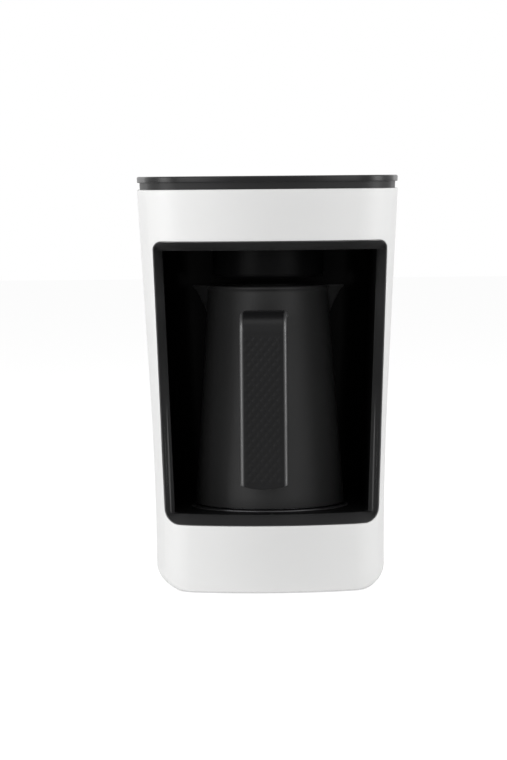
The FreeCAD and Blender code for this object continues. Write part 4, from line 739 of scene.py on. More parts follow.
# ----------------------------------------------------------
# Start button: a round black key, dished for the fingertip, on a stem over its switch. Its
# travel is under a millimetre, and a coil spring lifts it.
button_black = moulded("button_black", (0.02, 0.02, 0.021), 0.28, gloss=0.5, grain=0.5,
                       depth=0.008, mottle=0.1, wear=0.14)
KEY_STEM, KEY_RADIUS, KEY_FLANGE, FLANGE_LOW, FLANGE_HIGH = 2.0, 9.0, 10.2, 239.7, 240.9
low, high = [corner.z * 1000 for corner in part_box("start_button")]
button = turned("start_key", [
    (0, low), (KEY_STEM - 0.3, low), (KEY_STEM, low + 0.3), (KEY_STEM, FLANGE_LOW),
    (KEY_FLANGE, FLANGE_LOW), (KEY_FLANGE, FLANGE_HIGH), (KEY_RADIUS, FLANGE_HIGH),
    (KEY_RADIUS, high - 0.8), (8.9, high - 0.35), (8.6, high - 0.08), (8.1, high),
    (7.4, high - 0.1), (6.0, high - 0.3), (4.0, high - 0.55), (2.0, high - 0.7),
    (0, high - 0.75)], button_black, y=BUTTON_Y)
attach(button, "button")
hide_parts("start_button")

# ----------------------------------------------------------
# Lamps: two clear rods that carry the light of the board's diodes up to the lid's top.
lamp_clear = moulded("lamp_clear", (0.62, 0.66, 0.7), 0.2, grain=0.8, depth=0.004, mottle=0.08,
                     wear=0.1, coat=0.4)
low, high = [corner.z * 1000 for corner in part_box("indicator_lenses")]
lamp_profile = [(0, low), (LAMP_RADIUS, low), (LAMP_RADIUS, high - 0.3),
                (LAMP_RADIUS - 0.08, high - 0.1), (LAMP_RADIUS - 0.35, high), (0, high)]
lamps = joined("lamp_rods", [turned("lamp", lamp_profile, lamp_clear, y=LAMP_Y, x=way * LAMP_X,
                                    count=32) for way in (-1, 1)])
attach(lamps, "machine")
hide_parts("indicator_lenses")

# ----------------------------------------------------------
# Pot: one tapered steel body with a dark non-stick coat, a rolled rim and two pouring lips that
# run out of the wall to the left and the right. It stands on the hot plate, turned a little.
POT_SEAT, POT_HEIGHT, POT_WALL = 47.3, 134.1, 1.5
POT_BASE_RADIUS, POT_RIM_RADIUS = 45.7, 36.5
POT_RIM = POT_SEAT + POT_HEIGHT
SPOUT_DROP, SPOUT_TIP, SPOUT_HALF, SPOUT_ROOT = 17.0, 46.0, 11.0, 29.2
SPOUT_EASE, SPOUT_CURVE, SPOUT_NOSE, SPOUT_START = 1.2, 1.15, 0.8, 0.35
DISC_RISE, POT_FLOOR = 2.6, 4.4
POT_TURN = math.radians(-4)


def pot_radius(level):
    return POT_BASE_RADIUS - (POT_BASE_RADIUS - POT_RIM_RADIUS) * (level - POT_SEAT) / POT_HEIGHT


def spouted(radius, level, angle, wall):
    """The pot's radius with its spouts; wall moves the spout's sides in for the inner skin."""
    share = (level - POT_RIM + SPOUT_DROP) / SPOUT_DROP
    if share <= 0:
        return radius
    tip = radius + (SPOUT_TIP - POT_RIM_RADIUS) * min(share, 1.05) ** SPOUT_CURVE - wall * 0.3
    half = SPOUT_HALF * (SPOUT_START + (1 - SPOUT_START) * min(share, 1)) - wall
    run = Vector((tip - SPOUT_ROOT, SPOUT_NOSE - half))
    normal = Vector((-run.y, run.x)).normalized()
    reach = normal.dot(Vector((SPOUT_ROOT, half)))
    turn = abs((angle + math.pi / 2) % math.pi - math.pi / 2)
    side = normal.x * math.cos(turn) + normal.y * math.sin(turn)
    beak = min(reach / side if side > 1e-6 else 0, tip / math.cos(min(turn, 1.4)))
    gap = radius - beak
    return (radius + beak + math.sqrt(gap * gap + SPOUT_EASE ** 2 * 0.2)) / 2 if abs(gap) < 25 \
        else max(radius, beak)


pot_black = moulded("pot_coat", (0.026, 0.026, 0.0263), 0.46, gloss=0.2, grain=0.28, depth=0.012,
                    mottle=0.14, wear=0.05)
around = []
for start in (0, math.pi):
    around += list(start + np.radians(np.linspace(-18, 18, 49)))
    around += list(start + np.radians(np.linspace(18, 162, 61)[1:-1]))
rim_rows = [(POT_RIM + level, grow) for level, grow in (
    (-3.4, 0), (-2.6, 0.15), (-2.2, 0.5), (-1.8, 0.8), (-1.3, 0.97), (-0.8, 0.97), (-0.35, 0.75),
    (-0.08, 0.35), (0, -0.15), (-0.1, -0.7), (-0.4, -1.15), (-0.9, -1.4))]
FLOOR_TURN = 7  # radius of the round between the pot's floor and its wall
floor_level = POT_SEAT + POT_FLOOR


def pot_circle(radius, level):
    return [(radius * math.cos(a), POT_Y + radius * math.sin(a), level) for a in around]


def pot_ring(level, grow, wall=0.0):
    reaches = [spouted(pot_radius(level) + grow, level, a, wall) for a in around]
    return [(reach * math.cos(a), POT_Y + reach * math.sin(a), level)
            for a, reach in zip(around, reaches)]


disc_room = pot_radius(POT_SEAT + DISC_RISE) - POT_WALL
pot_rows = [pot_circle(r, POT_SEAT + up) for r, up in (
    (0, DISC_RISE), (disc_room, DISC_RISE), (disc_room + 0.05, 1.0), (disc_room + 0.3, 0.55),
    (POT_BASE_RADIUS - 0.6, 0.5), (POT_BASE_RADIUS - 0.15, 0.7))]
pot_rows += [pot_ring(level, 0) for level in
             [POT_SEAT + 1.2] + list(np.linspace(POT_SEAT + 8, POT_RIM - SPOUT_DROP, 12))
             + list(np.linspace(POT_RIM - SPOUT_DROP, POT_RIM - 3.4, 18)[1:-1])]
pot_rows += [pot_ring(level, grow, 0.0 if grow >= 0 else -grow) for level, grow in rim_rows]
pot_rows += [pot_ring(level, -POT_WALL, POT_WALL) for level in
             list(np.linspace(POT_RIM - 2, POT_RIM - SPOUT_DROP, 16))
             + list(np.linspace(POT_RIM - SPOUT_DROP, floor_level + FLOOR_TURN, 10)[1:])]
inner_turn = pot_radius(floor_level) - POT_WALL - FLOOR_TURN
pot_rows += [pot_circle(inner_turn + FLOOR_TURN * math.cos(t),
                        floor_level + FLOOR_TURN * (1 - math.sin(t)))
             for t in np.radians((15, 30, 45, 60, 75, 90))]
pot_rows += [pot_circle(r, floor_level) for r in (20, 0)]
pot = make_mesh("pot_shell", [(pot_rows, True)], pot_black, 45)


def with_pot(item):
    """Turn a piece about the pot's own axis, as the pot stands on its plate."""
    axis = Vector((0, POT_Y / 1000, 0))
    item.data.transform(Matrix.Translation(axis) @ Matrix.Rotation(POT_TURN, 4, "Z")
                        @ Matrix.Translation(-axis))
    return item


with_pot(pot)
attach(pot, "pot")
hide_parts("pot_body")

# ----------------------------------------------------------
# Base disc: a turned steel disc bonded under the pot, which sits flat on the hot plate.


def turned_metal(name, colour, roughness, ring, depth, mottle=0.1):
    """A metal face off the lathe: fine rings about the pot's axis, and faint stains."""
    material = bpy.data.materials.new(name)
    material.use_nodes = True
    tree = material.node_tree
    place = add_node(tree, "ShaderNodeTexCoord").outputs["Object"]
    shift = add_node(tree, "ShaderNodeVectorMath", {0: place, 1: (0, POT_Y / 1000, 0)},
                     operation="SUBTRACT")
    flat = add_node(tree, "ShaderNodeVectorMath", {0: shift.outputs[0], 1: (1, 1, 0)},
                    operation="MULTIPLY")
    size = add_node(tree, "ShaderNodeVectorMath", {0: flat.outputs[0]}, operation="LENGTH")
    rings = add_node(tree, "ShaderNodeTexNoise", {"W": size.outputs["Value"], "Detail": 2,
                                                  "Scale": 1000 / ring}, noise_dimensions="1D")
    stain = add_node(tree, "ShaderNodeTexNoise", {"Vector": place, "Scale": 60,
                                                  "Detail": 5}).outputs["Fac"]
    bump = add_node(tree, "ShaderNodeBump", {"Height": rings.outputs["Fac"], "Strength": 0.7,
                                             "Distance": depth / 1000})
    sheen = add_node(tree, "ShaderNodeMapRange", {"Value": stain, "To Min": roughness * 0.75,
                                                  "To Max": roughness * 1.3})
    tint = blend(tree, stain, (*[part * (1 - mottle) for part in colour], 1), (*colour, 1))
    feed(tree, tree.nodes["Principled BSDF"], {
        "Base Color": tint, "Metallic": 1, "Roughness": sheen.outputs["Result"],
        "Normal": bump.outputs["Normal"]})
    return material


disc_steel = turned_metal("disc_steel", (0.42, 0.42, 0.43), 0.32, 0.5, 0.03)
disc_radius = disc_room - 0.2
disc = turned("pot_disc", [
    (0, POT_SEAT), (disc_radius - 0.6, POT_SEAT), (disc_radius - 0.18, POT_SEAT + 0.15),
    (disc_radius, POT_SEAT + 0.6), (disc_radius, POT_SEAT + DISC_RISE),
    (0, POT_SEAT + DISC_RISE)], disc_steel, y=POT_Y, count=128)
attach(disc, "pot")
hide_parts("pot_base_disc")

# ----------------------------------------------------------
# Handle grip: a black moulded skin, bent back at the top over the handle's arm. Its long edges
# are round, its lower edge sags in a shallow arc, and the face has a field of small diamonds.
GRIP_FACE, GRIP_WALL, GRIP_HALF, GRIP_EDGE = -83.0, 4.0, 14.0, 2.8
GRIP_TOP, GRIP_BEND, GRIP_END = 167.5, 12.0, -57.0
GRIP_LOW, GRIP_SAG, GRIP_BLEND = 61.9, 2.4, 8


def grip_section():
    """(x, depth from the face) round the grip, with round outer edges."""
    spots = []
    for way in (-1, 1):
        turns = np.linspace(0, 90, 7)
        arc = [(way * (GRIP_HALF - GRIP_EDGE * (1 - math.cos(math.radians(a)))),
                GRIP_EDGE * (1 - math.sin(math.radians(a)))) for a in turns]
        edge = [(way * GRIP_HALF, GRIP_WALL)] + arc
        spots += edge if way < 0 else edge[::-1]
        if way < 0:
            spots += [(x, 0.0) for x in np.linspace(-GRIP_HALF + GRIP_EDGE, GRIP_HALF - GRIP_EDGE,
                                                    15)[1:-1]]
    return spots + [(x, GRIP_WALL) for x in np.linspace(GRIP_HALF, -GRIP_HALF, 9)[1:-1]]


bend_length = math.pi / 2 * GRIP_BEND


def grip_place(x, depth, along):
    """A point of the grip: along runs up the face from its lower edge and over the bend."""
    bend_start = GRIP_TOP - GRIP_BEND
    low = GRIP_LOW + GRIP_SAG * (x / GRIP_HALF) ** 2
    height = GRIP_LOW + along
    if along < GRIP_BLEND:
        height = low + (height - GRIP_LOW) * (GRIP_LOW + GRIP_BLEND - low) / GRIP_BLEND
    if height <= bend_start:
        return (x, GRIP_FACE + depth, height)
    past = height - bend_start
    if past < bend_length:
        turn = past / GRIP_BEND
        reach = GRIP_BEND - depth
        return (x, GRIP_FACE + GRIP_BEND - reach * math.cos(turn),
                bend_start + reach * math.sin(turn))
    return (x, GRIP_FACE + GRIP_BEND + past - bend_length, GRIP_TOP - depth)


straight = GRIP_TOP - GRIP_BEND - GRIP_LOW
stations = (list(np.linspace(0, GRIP_BLEND, 5)) + list(np.linspace(GRIP_BLEND, straight, 12)[1:])
            + list(straight + np.linspace(0, bend_length, 15)[1:])
            + [straight + bend_length + GRIP_END - GRIP_FACE - GRIP_BEND])
grip_rows = [[grip_place(x, depth, along) for x, depth in grip_section()] for along in stations]
grip_black = moulded("grip_black", (0.009, 0.009, 0.0095), 0.36, gloss=0.16, grain=0.3,
                     depth=0.02, mottle=0.15, wear=0.12)
tree = grip_black.node_tree
shader = tree.nodes["Principled BSDF"]
# Colour of the painted highlight on the grip's round long edges.
EDGE_PAINTED_HIGHLIGHT = (0.07, 0.07, 0.071, 1)


def tinted(tree, share, colour):
    """Lay a colour over a material's own, where share says."""
    shader = tree.nodes["Principled BSDF"]
    below = shader.inputs["Base Color"].links[0].from_socket
    feed(tree, shader, {"Base Color": blend(tree, share, below, colour)})


# Sideways-facing faces of the grip's round long edges get a glossier finish and a lighter colour;
# the lighter colour is a painted highlight.
parts = add_node(tree, "ShaderNodeSeparateXYZ",
                 {0: add_node(tree, "ShaderNodeTexCoord").outputs["Normal"]})
facing = add_node(tree, "ShaderNodeMath", {0: parts.outputs["X"]}, operation="ABSOLUTE")
side = add_node(tree, "ShaderNodeMapRange", {"Value": facing.outputs[0], "From Min": 0.25,
                                             "From Max": 0.7}).outputs["Result"]
polish = add_node(tree, "ShaderNodeMapRange", {"Value": side, "To Min": 0.16, "To Max": 0.7})
feed(tree, shader, {"Specular IOR Level": polish.outputs["Result"]})
tinted(tree, side, EDGE_PAINTED_HIGHLIGHT)
grip = make_mesh("handle_skin", capped(grip_rows), grip_black, 40)
ease_edges(grip, 0.5, 50, 3)

DIAMOND_ACROSS, DIAMOND_UP, DIAMOND_HIGH, DIAMOND_SHARE = 4.9, 6.0, 0.45, 0.78
FIELD_HALF, FIELD_LOW, FIELD_HIGH = 11.2, 67.0, 152.0


def spread_tree(name, sizes, material):
    """A geometry tree that sets a shape on each point of a mesh and makes it real.

    It comes with the outputs of its named sizes and with the node that takes the shape.
    """
    tree = bpy.data.node_groups.new(name, "GeometryNodeTree")
    tree.interface.new_socket("Geometry", in_out="INPUT", socket_type="NodeSocketGeometry")
    for label, kind in sizes.items():
        tree.interface.new_socket(label, in_out="INPUT", socket_type="NodeSocket" + kind)
    tree.interface.new_socket("Geometry", in_out="OUTPUT", socket_type="NodeSocketGeometry")
    start = tree.nodes.new("NodeGroupInput").outputs
    spread = add_node(tree, "GeometryNodeInstanceOnPoints", {"Points": start["Geometry"]})
    real = add_node(tree, "GeometryNodeRealizeInstances", {0: spread.outputs[0]})
    coat = add_node(tree, "GeometryNodeSetMaterial", {"Geometry": real.outputs[0],
                                                      "Material": material})
    add_node(tree, "NodeGroupOutput", {0: coat.outputs[0]})
    return tree, start, spread


def run_tree(name, tree, places, values):
    """Run a geometry tree on points in millimetres and keep the result as a plain piece."""
    spots = bpy.data.meshes.new(name)
    spots.from_pydata([Vector(place) / 1000 for place in places], [], [])
    item = bpy.data.objects.new(name, spots)
    scene.collection.objects.link(item)
    item.modifiers.new("tree", "NODES").node_group = tree
    for socket in tree.interface.items_tree:
        if socket.in_out == "INPUT" and socket.name in values:
            item.modifiers["tree"][socket.identifier] = values[socket.name]
    return finished(item)


tree, sizes, spread = spread_tree("grip_diamonds", {"Across": "Float", "Up": "Float",
                                                    "Height": "Float"}, grip_black)
cone = add_node(tree, "GeometryNodeMeshCone", {"Vertices": 4, "Radius Top": 0.0, "Depth": 1.0,
                                               "Radius Bottom": 0.5}, fill_type="NGON")
shape = add_node(tree, "ShaderNodeCombineXYZ", {0: sizes["Across"], 1: sizes["Up"],
                                                2: sizes["Height"]})
upright = add_node(tree, "FunctionNodeEulerToRotation", {0: (math.pi / 2, 0, 0)})
feed(tree, spread, {"Instance": cone.outputs["Mesh"], "Rotation": upright.outputs[0],
                    "Scale": shape.outputs[0]})
spots = []
row, z = 0, FIELD_LOW
while z <= FIELD_HIGH:
    first_x = -DIAMOND_ACROSS * 2 - (DIAMOND_ACROSS / 2 if row % 2 else 0)
    spots += [(first_x + DIAMOND_ACROSS * i, GRIP_FACE, z) for i in range(6)
              if abs(first_x + DIAMOND_ACROSS * i) <= FIELD_HALF]
    z += DIAMOND_UP / 2
    row += 1
diamonds = run_tree("grip_diamonds", tree, spots, {
    "Across": DIAMOND_ACROSS * DIAMOND_SHARE / 1000, "Up": DIAMOND_UP * DIAMOND_SHARE / 1000,
    "Height": DIAMOND_HIGH / 1000})
grip = joined("handle_skin", [grip, diamonds])
shade(with_pot(grip).data, 30)
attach(grip, "pot")
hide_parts("handle_grip")

# ----------------------------------------------------------
# Handle shell: the moulding behind the grip. It runs up the back and turns into the arm, whose
# end follows the pot's wall.
SHELL_HALF, SHELL_DEPTH, SHELL_END, ARM_HEIGHT, ARM_ROUND = 12.8, 9.0, 64.6, 9.0, 8.0
ARM_GAP = 1.7  # from the pot's coat to the arm's end
HANDLE_SCREWS, SCREW_ROOM = (82, 140), 3.4
handle_black = moulded("handle_black", (0.008, 0.008, 0.0085), 0.4, gloss=0.16, grain=0.35,
                       depth=0.015, mottle=0.15, wear=0.1)


def handle_outline(x):
    """The shell's outline in (y, z) at a distance from its middle plane."""
    back, under = GRIP_FACE + GRIP_WALL, GRIP_TOP - GRIP_WALL
    inner, low = back + SHELL_DEPTH, SHELL_END
    arm_low = under - ARM_HEIGHT

    def wall(level):
        return POT_Y - math.sqrt((pot_radius(level) + ARM_GAP) ** 2 - x * x)

    return rounded([(back, low), (back, under), (wall(under), under), (wall(arm_low), arm_low),
                    (inner, arm_low), (inner, low)],
                   {1: GRIP_BEND - GRIP_WALL, 4: ARM_ROUND, 5: 4.0}, 8)


shell_rows = [[(x, y, z) for y, z in handle_outline(x)]
              for x in np.linspace(-SHELL_HALF, SHELL_HALF, 15)]
arm = make_mesh("handle_arm", capped(shell_rows), handle_black, 40)
ease_edges(arm, 1.3, 50, 4)
with_pot(drill(arm, [(0, -70, z, SCREW_ROOM, 10.5, "Y") for z in HANDLE_SCREWS]))
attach(arm, "pot")
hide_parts("handle_shell")

# ----------------------------------------------------------
# Sensor hood: the round black cup over the pot, screwed to the bay's roof. The sensor looks
# down through the hole in its floor.
HOOD_LOW, HOOD_RADIUS, HOOD_ROUND, HOOD_WALL, HOOD_BORE = 186.0, 34.0, 3, 2, 5.0
hood_black = moulded("hood_black", (0.004, 0.004, 0.0042), 0.34, gloss=0.05, grain=0.5,
                     depth=0.006, mottle=0.12, wear=0.06)
hood_arc = [(HOOD_RADIUS - HOOD_ROUND * (1 - math.sin(math.radians(a))),
             HOOD_LOW + HOOD_ROUND * (1 - math.cos(math.radians(a)))) for a in range(0, 91, 15)]
hood = turned("hood_cup", [(HOOD_BORE, HOOD_LOW + HOOD_WALL), (HOOD_BORE, HOOD_LOW + 0.3),
                           (HOOD_BORE + 0.3, HOOD_LOW)] + hood_arc
              + [(HOOD_RADIUS, BAY_HIGH - 0.02), (HOOD_RADIUS - HOOD_WALL, BAY_HIGH - 0.02),
                 (HOOD_RADIUS - HOOD_WALL, HOOD_LOW + HOOD_WALL),
                 (HOOD_BORE, HOOD_LOW + HOOD_WALL)], hood_black, y=POT_Y, count=144)
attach(hood, "machine")
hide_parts("sensor_hood")

# ----------------------------------------------------------
# Hot plate: a dark coated casting with fine turned rings, in a rubber seal, with the sprung
# probe in the middle.
PLATE_TOP, PLATE_LOW, PLATE_RADIUS, PLATE_BORE = 46.8, 41.5, 47.0, 6.0
RIM_TOP, RIM_RADIUS = 43.0, 50.5
plate_dark = turned_metal("plate_dark", (0.11, 0.11, 0.115), 0.42, 0.8, 0.05)
plate = turned("heat_plate", [
    (PLATE_BORE, PLATE_TOP), (PLATE_BORE, PLATE_LOW), (RIM_RADIUS, PLATE_LOW),
    (RIM_RADIUS, RIM_TOP), (PLATE_RADIUS, RIM_TOP), (PLATE_RADIUS, PLATE_TOP - 0.7),
    (PLATE_RADIUS - 0.15, PLATE_TOP - 0.3), (PLATE_RADIUS - 0.6, PLATE_TOP - 0.05),
    (PLATE_RADIUS - 1.2, PLATE_TOP), (PLATE_BORE + 0.3, PLATE_TOP), (PLATE_BORE, PLATE_TOP)],
    plate_dark, y=POT_Y, count=144)
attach(plate, "machine")
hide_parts("hot_plate")

seal_rubber = moulded("seal_rubber", (0.03, 0.03, 0.03), 0.6, gloss=0.3, grain=0.4, depth=0.02,
                      mottle=0.2, wear=0.0)
low, high = [corner.z * 1000 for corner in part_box("plate_seal")]
SEAL_IN, SEAL_NECK, SEAL_LEDGE = PLATE_RADIUS + 0.1, PLATE_RADIUS + 1.2, 44.1
seal = turned("seal_ring", [
    (SEAL_IN, low), (RIM_RADIUS, low), (RIM_RADIUS, SEAL_LEDGE), (SEAL_NECK, SEAL_LEDGE),
    (SEAL_NECK, high - 0.2), (SEAL_NECK - 0.2, high), (SEAL_IN + 0.2, high),
    (SEAL_IN, high - 0.2), (SEAL_IN, low)], seal_rubber, y=POT_Y, count=144)
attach(seal, "machine")
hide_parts("plate_seal")

probe_steel = turned_metal("probe_steel", (0.5, 0.5, 0.51), 0.2, 0.6, 0.01)
PIN_RADIUS, PIN_COLLAR, PIN_HEAD, PIN_HEAD_RISE = 3.0, 4.2, 5.5, 3.0
low, high = [corner.z * 1000 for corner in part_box("temperature_probe")]
probe = turned("probe_pin", [
    (0, low), (PIN_RADIUS - 0.3, low), (PIN_RADIUS, low + 0.3), (PIN_RADIUS, low + 1.0),
    (PIN_COLLAR, low + 1.0), (PIN_COLLAR, low + 2.7), (PIN_RADIUS, low + 2.7),
    (PIN_RADIUS, high - PIN_HEAD_RISE), (PIN_HEAD, high - PIN_HEAD_RISE),
    (PIN_HEAD, high - 0.75), (5.4, high - 0.4), (5.1, high - 0.12), (4.7, high), (0, high)],
    probe_steel, y=POT_Y, count=48)
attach(probe, "probe")
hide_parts("temperature_probe")

# ----------------------------------------------------------
# Base plate: the black moulding that closes the shell from below, with its posts, ribs and vent
# slots. Its rim is drawn in under the shell's round lower edge.
BASE_CUTS = (1.5, 2.0, 3.0, 4.5, 6.5, 9.0)  # levels at which the rim gets rows of points
FLANGE_ROOM, WALL_ROOM = 2.4, SHELL_WALL + 0.25


def nearest_place(x, y, level):
    """(place round the plan, how far in from the wall) of a point near the wall."""
    found = []
    for i, (centre, radius, start, end) in enumerate(PLAN):
        turn = start + (math.atan2(y - centre[1], x - centre[0]) - start) % math.tau
        reach = math.hypot(x - centre[0], y - centre[1])
        if turn <= end:
            found.append((radius + wall_flare(level) - reach, i + (turn - start) / (end - start)))
    inset, place = min(found) if found else (99, 0)
    return place, inset


work = bmesh.new()
work.from_mesh(nodes["base_plate"].data)
for level in BASE_CUTS:
    bmesh.ops.bisect_plane(work, geom=list(work.verts) + list(work.edges) + list(work.faces),
                           dist=1e-7, plane_co=(0, 0, level / 1000), plane_no=(0, 0, 1))
for spot in work.verts:
    x, y, z = spot.co * 1000
    if z < FOOT_LOW + SIDE_ROUND:
        place, inset = nearest_place(x, y, z)
        room = tuck(place, z) + (FLANGE_ROOM if z <= SHELL_LOW + 0.01 else WALL_ROOM)
        if inset < room and foot_round(place) > FRONT_ROUND + 0.01:
            spot.co = Vector(wall_point(place, z, room)) / 1000
base_mesh = bpy.data.meshes.new("base_moulding")
work.to_mesh(base_mesh)
work.free()
base_mesh.materials.clear()
base_mesh.materials.append(base_black)
base = bpy.data.objects.new("base_moulding", base_mesh)
scene.collection.objects.link(base)
shade(base_mesh, 30)
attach(base, "machine")
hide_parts("base_plate")

# ----------------------------------------------------------
# Rubber feet: four soft discs with a round lower edge and a shallow hollow, one near each corner.
# They sit in the base plate's recesses and carry the machine.
FOOT_X, FOOT_Y = 44, 61
foot_rubber = moulded("foot_rubber", (0.03, 0.03, 0.03), 0.72, gloss=0.3, grain=0.5, depth=0.04,
                      mottle=0.2, wear=0.15)
foot_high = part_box("rubber_feet")[1].z * 1000
foot_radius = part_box("rubber_feet")[1].x * 1000 - FOOT_X
FOOT_HOLLOW, HOLLOW_DEPTH = 3.9, 0.5
foot_profile = [(0, HOLLOW_DEPTH), (FOOT_HOLLOW - 0.5, HOLLOW_DEPTH), (FOOT_HOLLOW, 0.0),
                (foot_radius - 1.1, 0.0), (foot_radius - 0.5, 0.18), (foot_radius - 0.12, 0.6),
                (foot_radius, 1.1), (foot_radius, foot_high), (0, foot_high)]
feet = joined("foot_pads", [turned("foot", foot_profile, foot_rubber, y=y, x=x, count=48)
                            for x in (-FOOT_X, FOOT_X) for y in (-FOOT_Y, FOOT_Y)])
shade(feet.data, 35)
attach(feet, "machine")
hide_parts("rubber_feet")

# ----------------------------------------------------------
# Screws: pan heads with a cross recess over a rolled thread, in four lengths. A geometry tree
# sets a screw on each place of a group, and each group stands for its own node.
SCREW_RADIUS, SCREW_ROOT, SCREW_HEAD, HEAD_HEIGHT, PITCH = 1.4, 1.1, 3.0, 1.8, 0.9
RECESS_ARM, RECESS_HALF, RECESS_DEPTH = 1.6, 0.4, 1.1
screw_steel = moulded("screw_steel", (0.56, 0.56, 0.55), 0.3, grain=0.4, depth=0.01, mottle=0.15,
                      wear=0.3, metal=1.0)


def screw_mesh(length):
    """One screw along Z; the face under its head lies at zero."""
    count, steps = 24, 6
    rows = []
    for i in range(-steps, int(length / PITCH * steps) + 2):
        wave = max(0.0, math.cos(math.tau * i / steps)) ** 0.7
        row = []
        for j in range(count + 1):
            z = -length + PITCH * (i / steps + j / count)
            fade = max(min((z + length) / 1.2, -z / 0.4, 1), 0)
            reach = SCREW_ROOT + (SCREW_RADIUS - SCREW_ROOT) * wave * fade
            turn = math.tau * j / count
            row.append((reach * math.cos(turn), reach * math.sin(turn), min(max(z, -length), 0)))
        rows.append(row)
    head = [circle(r, z, count) for r, z in (
        (SCREW_ROOT, 0), (SCREW_HEAD - 0.1, 0), (SCREW_HEAD, 0.1),
        (SCREW_HEAD, HEAD_HEIGHT * 0.45), (SCREW_HEAD * 0.93, HEAD_HEIGHT * 0.75),
        (SCREW_HEAD * 0.75, HEAD_HEIGHT * 0.93), (SCREW_HEAD * 0.5, HEAD_HEIGHT),
        (0, HEAD_HEIGHT))]
    tip = [circle(SCREW_ROOT, -length, count)]
    item = make_mesh("screw", [(rows, False), (head, True), (tip, False)], screw_steel, 30)
    arm, half = RECESS_ARM, RECESS_HALF
    cross = [(half, half), (half, arm), (-half, arm), (-half, half), (-arm, half), (-arm, -half),
             (-half, -half), (-half, -arm), (half, -arm), (half, -half), (arm, -half), (arm, half)]
    rings = [[(x * size, y * size, HEAD_HEIGHT - depth) for x, y in cross]
             for size, depth in ((0.6, RECESS_DEPTH), (1.05, -0.2))]
    take_out(item, make_mesh("recess", capped(rings), screw_steel), 30)
    return item


tree, sizes, spread = spread_tree("screw_group", {"Screw": "Object", "Turn": "Vector"},
                                  screw_steel)
source = add_node(tree, "GeometryNodeObjectInfo", {"Object": sizes["Screw"]})
upright = add_node(tree, "FunctionNodeEulerToRotation", {0: sizes["Turn"]})
feed(tree, spread, {"Instance": source.outputs["Geometry"], "Rotation": upright.outputs[0]})

DOWNWARD, UPWARD, FORWARD = (0, 0, 0), (math.pi, 0, 0), (-math.pi / 2, 0, 0)


def both_sides(x, ys, z):
    return [(way * x, y, z) for way in (-1, 1) for y in ys]


for name, node, body, length, turn, places in (
        ("base_screw_set", "base_screws", "machine", 11, UPWARD, both_sides(58, (-50, 50), 3.0)),
        ("liner_screw_set", "liner_screws", "machine", 11, UPWARD,
         both_sides(53.5, (-38, 37), 33.6)),
        ("collar_screw_set", "collar_screws", "machine", 11, DOWNWARD,
         both_sides(64, (-40, 40), 236.6)),
        ("control_screw_set", "control_screws", "machine", 11, UPWARD,
         both_sides(26, (-75, -40), 232.0)),
        ("hood_screw_set", "hood_screws", "machine", 11, DOWNWARD,
         both_sides(25, (POT_Y,), 205.9)),
        ("dish_screw_set", "dish_screws", "machine", 4, UPWARD,
         [(55.6 * math.cos(math.radians(a)), POT_Y + 55.6 * math.sin(math.radians(a)), 40.3)
          for a in (30, 150, 270)]),
        ("board_screw_set", "power_board_screws", "machine", 7, FORWARD,
         [(x, 53.6, z) for x in (-42, 42) for z in (74, 160)]),
        ("handle_screw_set", "handle_screws", "pot", 9, FORWARD,
         [(0, -72.0, z) for z in HANDLE_SCREWS])):
    single = screw_mesh(length)
    group = run_tree(name, tree, places, {"Screw": single, "Turn": turn})
    bpy.data.objects.remove(single)
    if body == "pot":
        with_pot(group)
    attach(group, body)
    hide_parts(node)

# ----------------------------------------------------------
# Springs: bright drawn wire under the start button and under the probe. Their solids are the
# coils themselves, so they stay.
spring_steel = moulded("spring_steel", (0.5, 0.5, 0.51), 0.24, grain=0.3, depth=0.006, mottle=0.12,
                       wear=0.1, metal=1.0)


def dress(node, material):
    """Give a CAD node that stays its material."""
    for place in nodes[node].material_slots:
        place.material = material


dress("button_spring", spring_steel)
dress("probe_spring", spring_steel)

# ----------------------------------------------------------
# Boards: green glass-fibre laminate. The woven cloth shows faintly through the mask.


def laminate(name, colour):
    """Circuit board: a moulded base, with the cloth's weave and lighter tracks under the mask."""
    material = moulded(name, colour, 0.35, gloss=0.5, grain=0.9, depth=0.01, mottle=0.25, wear=0.2)
    tree = material.node_tree
    tracks = add_node(tree, "ShaderNodeTexBrick", {
        "Vector": add_node(tree, "ShaderNodeTexCoord").outputs["Object"], "Scale": 160,
        "Mortar Size": 0.06, "Color1": (0, 0, 0, 1), "Color2": (0.12, 0.12, 0.12, 1),
        "Mortar": (1, 1, 1, 1)})
    tinted(tree, tracks.outputs["Color"], (*[min(part * 2.2 + 0.01, 1) for part in colour], 1))
    return material


board_green = laminate("board_green", (0.012, 0.075, 0.03))
for node in ("control_board", "sensor_board", "power_board"):
    dress(node, board_green)

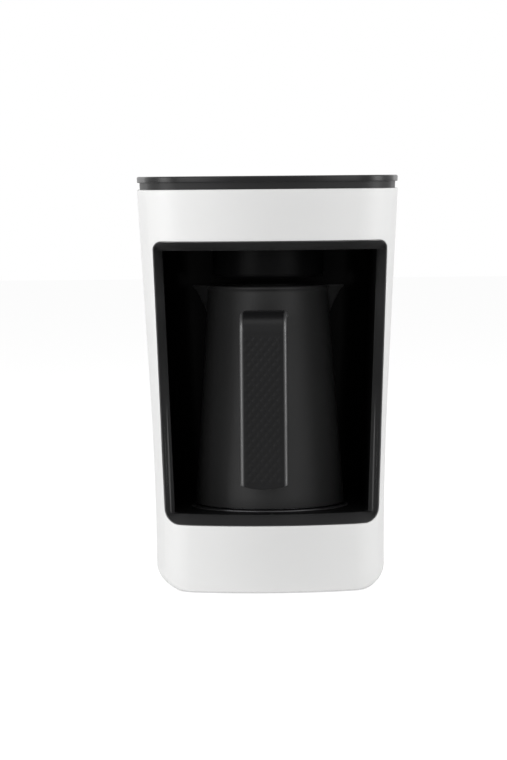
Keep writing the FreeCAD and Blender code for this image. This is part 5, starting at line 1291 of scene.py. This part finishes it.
# ----------------------------------------------------------
# Electrical parts: switch, buzzer, terminal block and thermostat in black mouldings, the relay in
# a blue case, capacitors in sleeved cans, and a laminated transformer core.
CORE_SHEET = 0.5
part_black = moulded("part_black", (0.022, 0.022, 0.023), 0.45, gloss=0.4, grain=0.6, depth=0.015,
                     mottle=0.15, wear=0.15)
for node in ("start_switch", "buzzer", "terminal_block", "thermostat"):
    dress(node, part_black)
part_blue = moulded("part_blue", (0.02, 0.07, 0.26), 0.3, grain=0.8, depth=0.008, mottle=0.1,
                    wear=0.15)
dress("heater_relay", part_blue)
can_aluminium = moulded("can_aluminium", (0.55, 0.56, 0.58), 0.3, grain=0.4, depth=0.008,
                        mottle=0.12, wear=0.2, metal=1.0)
dress("filter_capacitors", can_aluminium)
core_steel = moulded("core_steel", (0.2, 0.19, 0.185), 0.45, grain=0.25, depth=0.03, mottle=0.3,
                     wear=0.3, metal=0.8)
tree = core_steel.node_tree
sheets = add_node(tree, "ShaderNodeTexWave", {
    "Vector": add_node(tree, "ShaderNodeTexCoord").outputs["Object"],
    "Scale": 1000 / CORE_SHEET / math.tau}, bands_direction="Z")
feed(tree, tree.nodes["Bump"], {"Height": sheets.outputs["Fac"]})
dress("transformer", core_steel)

# ----------------------------------------------------------
# Sensor lens: a dark window that lets infrared through, behind the hole in the hood's floor.
lens_dark = moulded("lens_dark", (0.02, 0.006, 0.008), 0.12, grain=1.5, depth=0.002, mottle=0.2,
                    wear=0.05, coat=0.3)
dress("sensor_lens", lens_dark)

# ----------------------------------------------------------
# Heater: a pressed steel dish with the sheathed element that the heat has tinted, a fuse in its
# clip, and the probe's black guide.
sheet_steel = moulded("sheet_steel", (0.5, 0.5, 0.49), 0.34, grain=0.5, depth=0.012, mottle=0.2,
                      wear=0.2, metal=1.0)
for node in ("heater_dish", "thermal_fuse", "handle_bracket"):
    dress(node, sheet_steel)
heated_steel = moulded("heated_steel", (0.27, 0.22, 0.17), 0.42, grain=0.5, depth=0.02, mottle=0.4,
                       wear=0.2, metal=0.9)
dress("heating_element", heated_steel)
dress("probe_guide", part_black)
